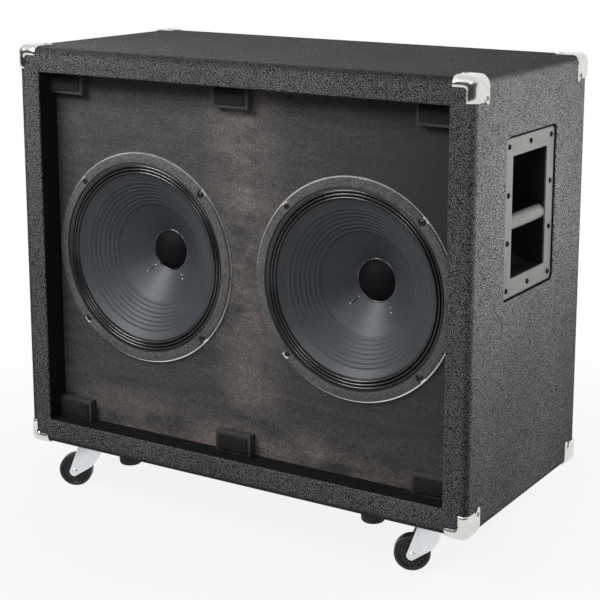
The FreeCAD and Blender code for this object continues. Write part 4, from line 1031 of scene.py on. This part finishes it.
def lead_tabs(side):
    """The leads' eyelets on the cone: a sleeved strip with solder at its ends."""
    radius, _, shallow, fall = cone_slope(side)
    round_tab = [2 * math.pi * k / TAB_SIDES for k in range(TAB_SIDES)]
    arc = [math.pi * k / SOLDER_STEPS for k in range(SOLDER_STEPS + 1)]
    ball = [(SOLDER_RADIUS * math.sin(a), SOLDER_RADIUS * math.cos(a)) for a in arc]
    strips = []
    beads = []
    for angle, near, far in LEAD_TABS:
        turn = Matrix.Rotation(math.radians(angle), 4, "Z")
        sleeve = []
        for i in range(TAB_STEPS + 1):
            part = i / TAB_STEPS
            r = near + (far - near) * part
            level = shallow - fall * (radius - r)
            width = TAB_RADIUS * (TAB_ENDS + (1 - TAB_ENDS) * math.sin(math.pi * part))
            sleeve.append([(r, width * math.cos(a), level + width * math.sin(a)) for a in round_tab])
        strips.append(moved(skin(sleeve, capped=True), turn))
        for r in (near, far):
            spot = Matrix.Translation((r, 0, shallow - fall * (radius - r)))
            beads.append(moved(turned(ball, SOLDER_SIDES), turn @ spot @ Matrix.Diagonal(SOLDER_FORM)))
    place = speaker_place(side)
    finished(f"lead_strips_{side}", moved(merged(strips), place), LEAD_SLEEVE, f"cone_{side}")
    finished(f"lead_solder_{side}", moved(merged(beads), place), SOLDER, f"cone_{side}")


def flexible_leads(side):
    """Braided leads, each running from the cone's back to its lug."""
    node = f"tinsel_leads_{side}"
    axis = speaker_place(side).translation
    for label, sign in (("minus", -1), ("plus", 1)):
        shape = cleaned(node)
        others = [vert for vert in shape.verts if (vert.co.x - axis.x) * sign < 0]
        bmesh.ops.delete(shape, geom=others, context="VERTS")
        piece = finished(f"braided_lead_{label}_{side}", shape, TINSEL, None, [node])
        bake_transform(piece)


for side in SIDES:
    cone(side)
    dust_cap(side)
    surround(side)
    spider(side)
    lead_tabs(side)
    flexible_leads(side)
softened("speaker_gaskets", GASKET, "gasket", 0.6 * MM)


# Wheels, feet and handle bars

WHEEL_BORE = 3.05 * MM
WHEEL_HUB = 9.0 * MM
HUB_CHAMFER = 0.6 * MM
HALF_TREAD = 9.0 * MM
TREAD_ROUND = 3.0 * MM
WEB_DEPTH = 2.5 * MM
# Steps on a wheel's face: radius, and depth below the side of the tread, in millimetres
WHEEL_STEPS = ((12.4, 2.5), (12.8, 2.1), (13.6, 2.1), (14.0, 2.5), (16.4, 2.5), (17.0, 1.9), (18.4, 1.9),
               (19.0, 0.5), (19.6, 0.0), (21.4, 0.0))
FOOT_BORE = 2.0 * MM
FOOT_TAPER = 2.0 * MM
FOOT_SOLE = 4.0 * MM
FOOT_WELL = 6.5 * MM
WELL_CHAMFER = 0.7 * MM
WELL_DEPTH = 9.0 * MM
# Upper edge of a foot: in from its side, and down from its top, in millimetres
FOOT_EDGE = ((0.5, 0.0), (0.0, 0.5), (0.2, 3.0), (0.8, 3.4))
ROUND_STEPS = 6
WHEEL_SIDES = 64
FOOT_SIDES = 56
BAR_SIDES = 48
BAR_STEPS = 24
BAR_SWELL = 0.03


def wheel(corner):
    """Wheel with a rounded tread, stepped rings on its faces and a raised hub."""
    node = f"caster_wheel_{corner}"
    points = [vert.co for vert in nodes[node].data.vertices]
    low, high = limits(points)
    centre = (low + high) / 2
    radius = (high.z - low.z) / 2
    joint = next(item for item in frame["joints"] if item["name"] == f"spin_{corner}")
    axis = Vector(joint["axis"]).normalized()
    reach = max(abs((point - centre).dot(axis)) for point in points)
    half = [(WHEEL_BORE, reach), (WHEEL_HUB - HUB_CHAMFER, reach), (WHEEL_HUB, reach - HUB_CHAMFER),
            (WHEEL_HUB, HALF_TREAD - WEB_DEPTH)]
    half += [(r * MM, HALF_TREAD - depth * MM) for r, depth in WHEEL_STEPS]
    half += [(radius - TREAD_ROUND + TREAD_ROUND * math.sin(angle),
              HALF_TREAD - TREAD_ROUND + TREAD_ROUND * math.cos(angle)) for angle in quarter(ROUND_STEPS)]
    other = [(r, -height) for r, height in reversed(half)]
    shape = turned(half + other + half[:1], WHEEL_SIDES)
    turn = Vector((0, 0, 1)).rotation_difference(axis).to_matrix().to_4x4()
    finished(f"moulded_{node}", moved(shape, Matrix.Translation(centre) @ turn), WHEEL,
             f"wheel_{corner}", [node], 30.0)


def feet():
    """Rubber feet with a rounded sole, a step at the top and a screw well."""
    shapes = []
    for points in islands("rubber_feet"):
        low, high = limits(points)
        centre = (low + high) / 2
        radius = (high.x - low.x) / 2
        tall = high.z - low.z
        narrow = radius - FOOT_TAPER - FOOT_SOLE
        profile = [(FOOT_BORE, tall)]
        profile += [(radius - inward * MM, tall - down * MM) for inward, down in FOOT_EDGE]
        profile += [(narrow + FOOT_SOLE * math.cos(angle), FOOT_SOLE - FOOT_SOLE * math.sin(angle))
                    for angle in quarter(ROUND_STEPS)]
        profile += [(FOOT_WELL + WELL_CHAMFER, 0.0), (FOOT_WELL, WELL_CHAMFER), (FOOT_WELL, WELL_DEPTH),
                    (FOOT_BORE, WELL_DEPTH), (FOOT_BORE, tall)]
        shapes.append(moved(turned(profile, FOOT_SIDES), Matrix.Translation((centre.x, centre.y, low.z))))
    finished("moulded_feet", merged(shapes), RUBBER, "cabinet", ["rubber_feet"], 30.0)


def handle_bars():
    """Handle bars with a slight swell in the middle."""
    shapes = []
    for points in islands("handle_bars"):
        low, high = limits(points)
        centre = (low + high) / 2
        radius = (high.z - low.z) / 2
        half = (high.y - low.y) / 2
        profile = [(0.0, -half)]
        for i in range(BAR_STEPS + 1):
            along = -1 + 2 * i / BAR_STEPS
            swell = BAR_SWELL * (math.cos(math.pi * along / 2) - 1)
            profile.append((radius * (1 + swell), half * along))
        profile.append((0.0, half))
        turn = Matrix.Rotation(math.radians(90), 4, "X")
        shapes.append(moved(turned(profile, BAR_SIDES), Matrix.Translation(centre) @ turn))
    finished("grip_bars", merged(shapes), HANDLE, "cabinet", ["handle_bars"], 30.0)


for corner in CORNERS:
    wheel(corner)
feet()
handle_bars()


# Finishes of the CAD nodes that stay as they are

KEPT = {
    "baffle": WOOD, "top_panel": PLY, "bottom_panel": PLY, "left_panel": PLY, "right_panel": PLY,
    "front_battens": PLY, "centre_brace": PLY, "rear_cleats": PLY,
    "magnet_front_plates": STEEL, "speaker_magnets": MAGNET, "magnet_yokes": STEEL,
    "speaker_terminals": PHENOLIC, "speaker_wires": WIRE,
}
for side in SIDES:
    KEPT[f"speaker_basket_{side}"] = STEEL
    KEPT[f"voice_coil_{side}"] = COPPER
for node, paint in KEPT.items():
    nodes[node].data.materials.clear()
    nodes[node].data.materials.append(paint)


# Floor, white surroundings and soft lamps

FRONT_GLOW = 0.05
FLOOR_SIZE = 20.0
FLOOR_TONE = 0.32
FLOOR_SWEEP = (-2.8, -1.3)
# Painted shadow pool on the floor: where it fades out, and how much glow it keeps at the object
PAINTED_SHADOW_REACH = (0.35, 1.0)
PAINTED_SHADOW_SHARE = 0.88
SKY_BEHIND = (-0.5, 0.3)
SKY_ABOVE = (0.30, 0.65)
SKY_TOP = 0.9
WORLD_LEVEL = 0.09
MIDDLE = (0.0, 0.0, 0.37)


def floor():
    """White ground with a painted shadow, a grey pool that fades away from the object, keeping the object's
    real shadow in its diffuse share, and darker in front where metal mirrors it.
    """
    shape = bmesh.new()
    bmesh.ops.create_grid(shape, x_segments=1, y_segments=1, size=FLOOR_SIZE)
    paint = Paint("floor_white", grey(FLOOR_TONE), 0.9)
    finished("floor", shape, paint.material, None)
    rays = paint.add("ShaderNodeLightPath")
    away = paint.add("ShaderNodeVectorMath", {0: paint.place()}, operation="LENGTH").outputs["Value"]
    clear = paint.math("MAXIMUM", rays.outputs["Is Camera Ray"], rays.outputs["Is Transmission Ray"])
    seen = paint.math("MAXIMUM", clear, rays.outputs["Is Glossy Ray"])
    sweep = paint.math("MULTIPLY", seen, paint.span(paint.axis("Y"), *FLOOR_SWEEP, FRONT_GLOW, 1.0))
    white = paint.math("MAXIMUM", clear, sweep)
    glow = paint.add("ShaderNodeEmission", {"Color": (1, 1, 1, 1), "Strength": white})
    # Painted shadow: less glow near the object gives a grey pool whether lit or not; the diffuse share left
    # there carries the real shadow.
    share = paint.math("MULTIPLY", seen, paint.span(away, *PAINTED_SHADOW_REACH, PAINTED_SHADOW_SHARE, 1.0))
    layers = {0: share, 1: paint.surface.outputs["BSDF"], 2: glow.outputs["Emission"]}
    blend = paint.add("ShaderNodeMixShader", layers)
    paint.join(blend.outputs["Shader"], paint.tree.nodes["Material Output"].inputs["Surface"])


def surroundings():
    """White world, darker in front for reflections, and a gentler one for the light on the object."""
    world = bpy.data.worlds.new("studio")
    world.use_nodes = True
    scene.world = world
    sky = Nodes(world.node_tree)
    sky.tree.nodes.clear()
    rays = sky.add("ShaderNodeLightPath").outputs
    direction = sky.add("ShaderNodeTexCoord").outputs["Generated"]
    split = sky.add("ShaderNodeSeparateXYZ", {"Vector": direction}).outputs
    behind = sky.span(split["Y"], *SKY_BEHIND, FRONT_GLOW, 1.0)
    above = sky.span(split["Z"], *SKY_ABOVE, FRONT_GLOW, SKY_TOP)
    mirrored = sky.math("MULTIPLY", rays["Is Glossy Ray"], sky.math("MAXIMUM", behind, above))
    clear = sky.math("MAXIMUM", rays["Is Camera Ray"], rays["Is Transmission Ray"])
    strength = sky.span(sky.math("MAXIMUM", clear, mirrored), 0.0, 1.0, WORLD_LEVEL, 1.0)
    background = sky.add("ShaderNodeBackground", {"Color": (1, 1, 1, 1), "Strength": strength})
    sky.add("ShaderNodeOutputWorld", {"Surface": background.outputs["Background"]})


def soft_lamp(name, place, target, size, power, mirrored=True):
    """Rectangular lamp aimed at a point, which shows in reflections or only lights."""
    data = bpy.data.lights.new(name, "AREA")
    data.shape = "RECTANGLE"
    data.size, data.size_y = size
    data.energy = power
    lamp = bpy.data.objects.new(name, data)
    lamp.location = place
    lamp.visible_camera = False
    lamp.visible_glossy = mirrored
    aim = Vector(target) - Vector(place)
    lamp.rotation_euler = aim.to_track_quat("-Z", "Y").to_euler()
    scene.collection.objects.link(lamp)


floor()
surroundings()
soft_lamp("side_lamp", (0.80, 0.0, 0.60), (0.37, 0.0, 0.54), (0.6, 0.12), 7.8, mirrored=False)
soft_lamp("key_lamp", (-0.68, -0.95, 1.36), MIDDLE, (0.7, 0.5), 23.0)
soft_lamp("fill_lamp", (0.45, -1.75, 1.50), MIDDLE, (0.5, 0.5), 9.0)
soft_lamp("rear_lamp", (-0.3, 2.0, 0.42), MIDDLE, (1.4, 0.5), 34.0, mirrored=False)
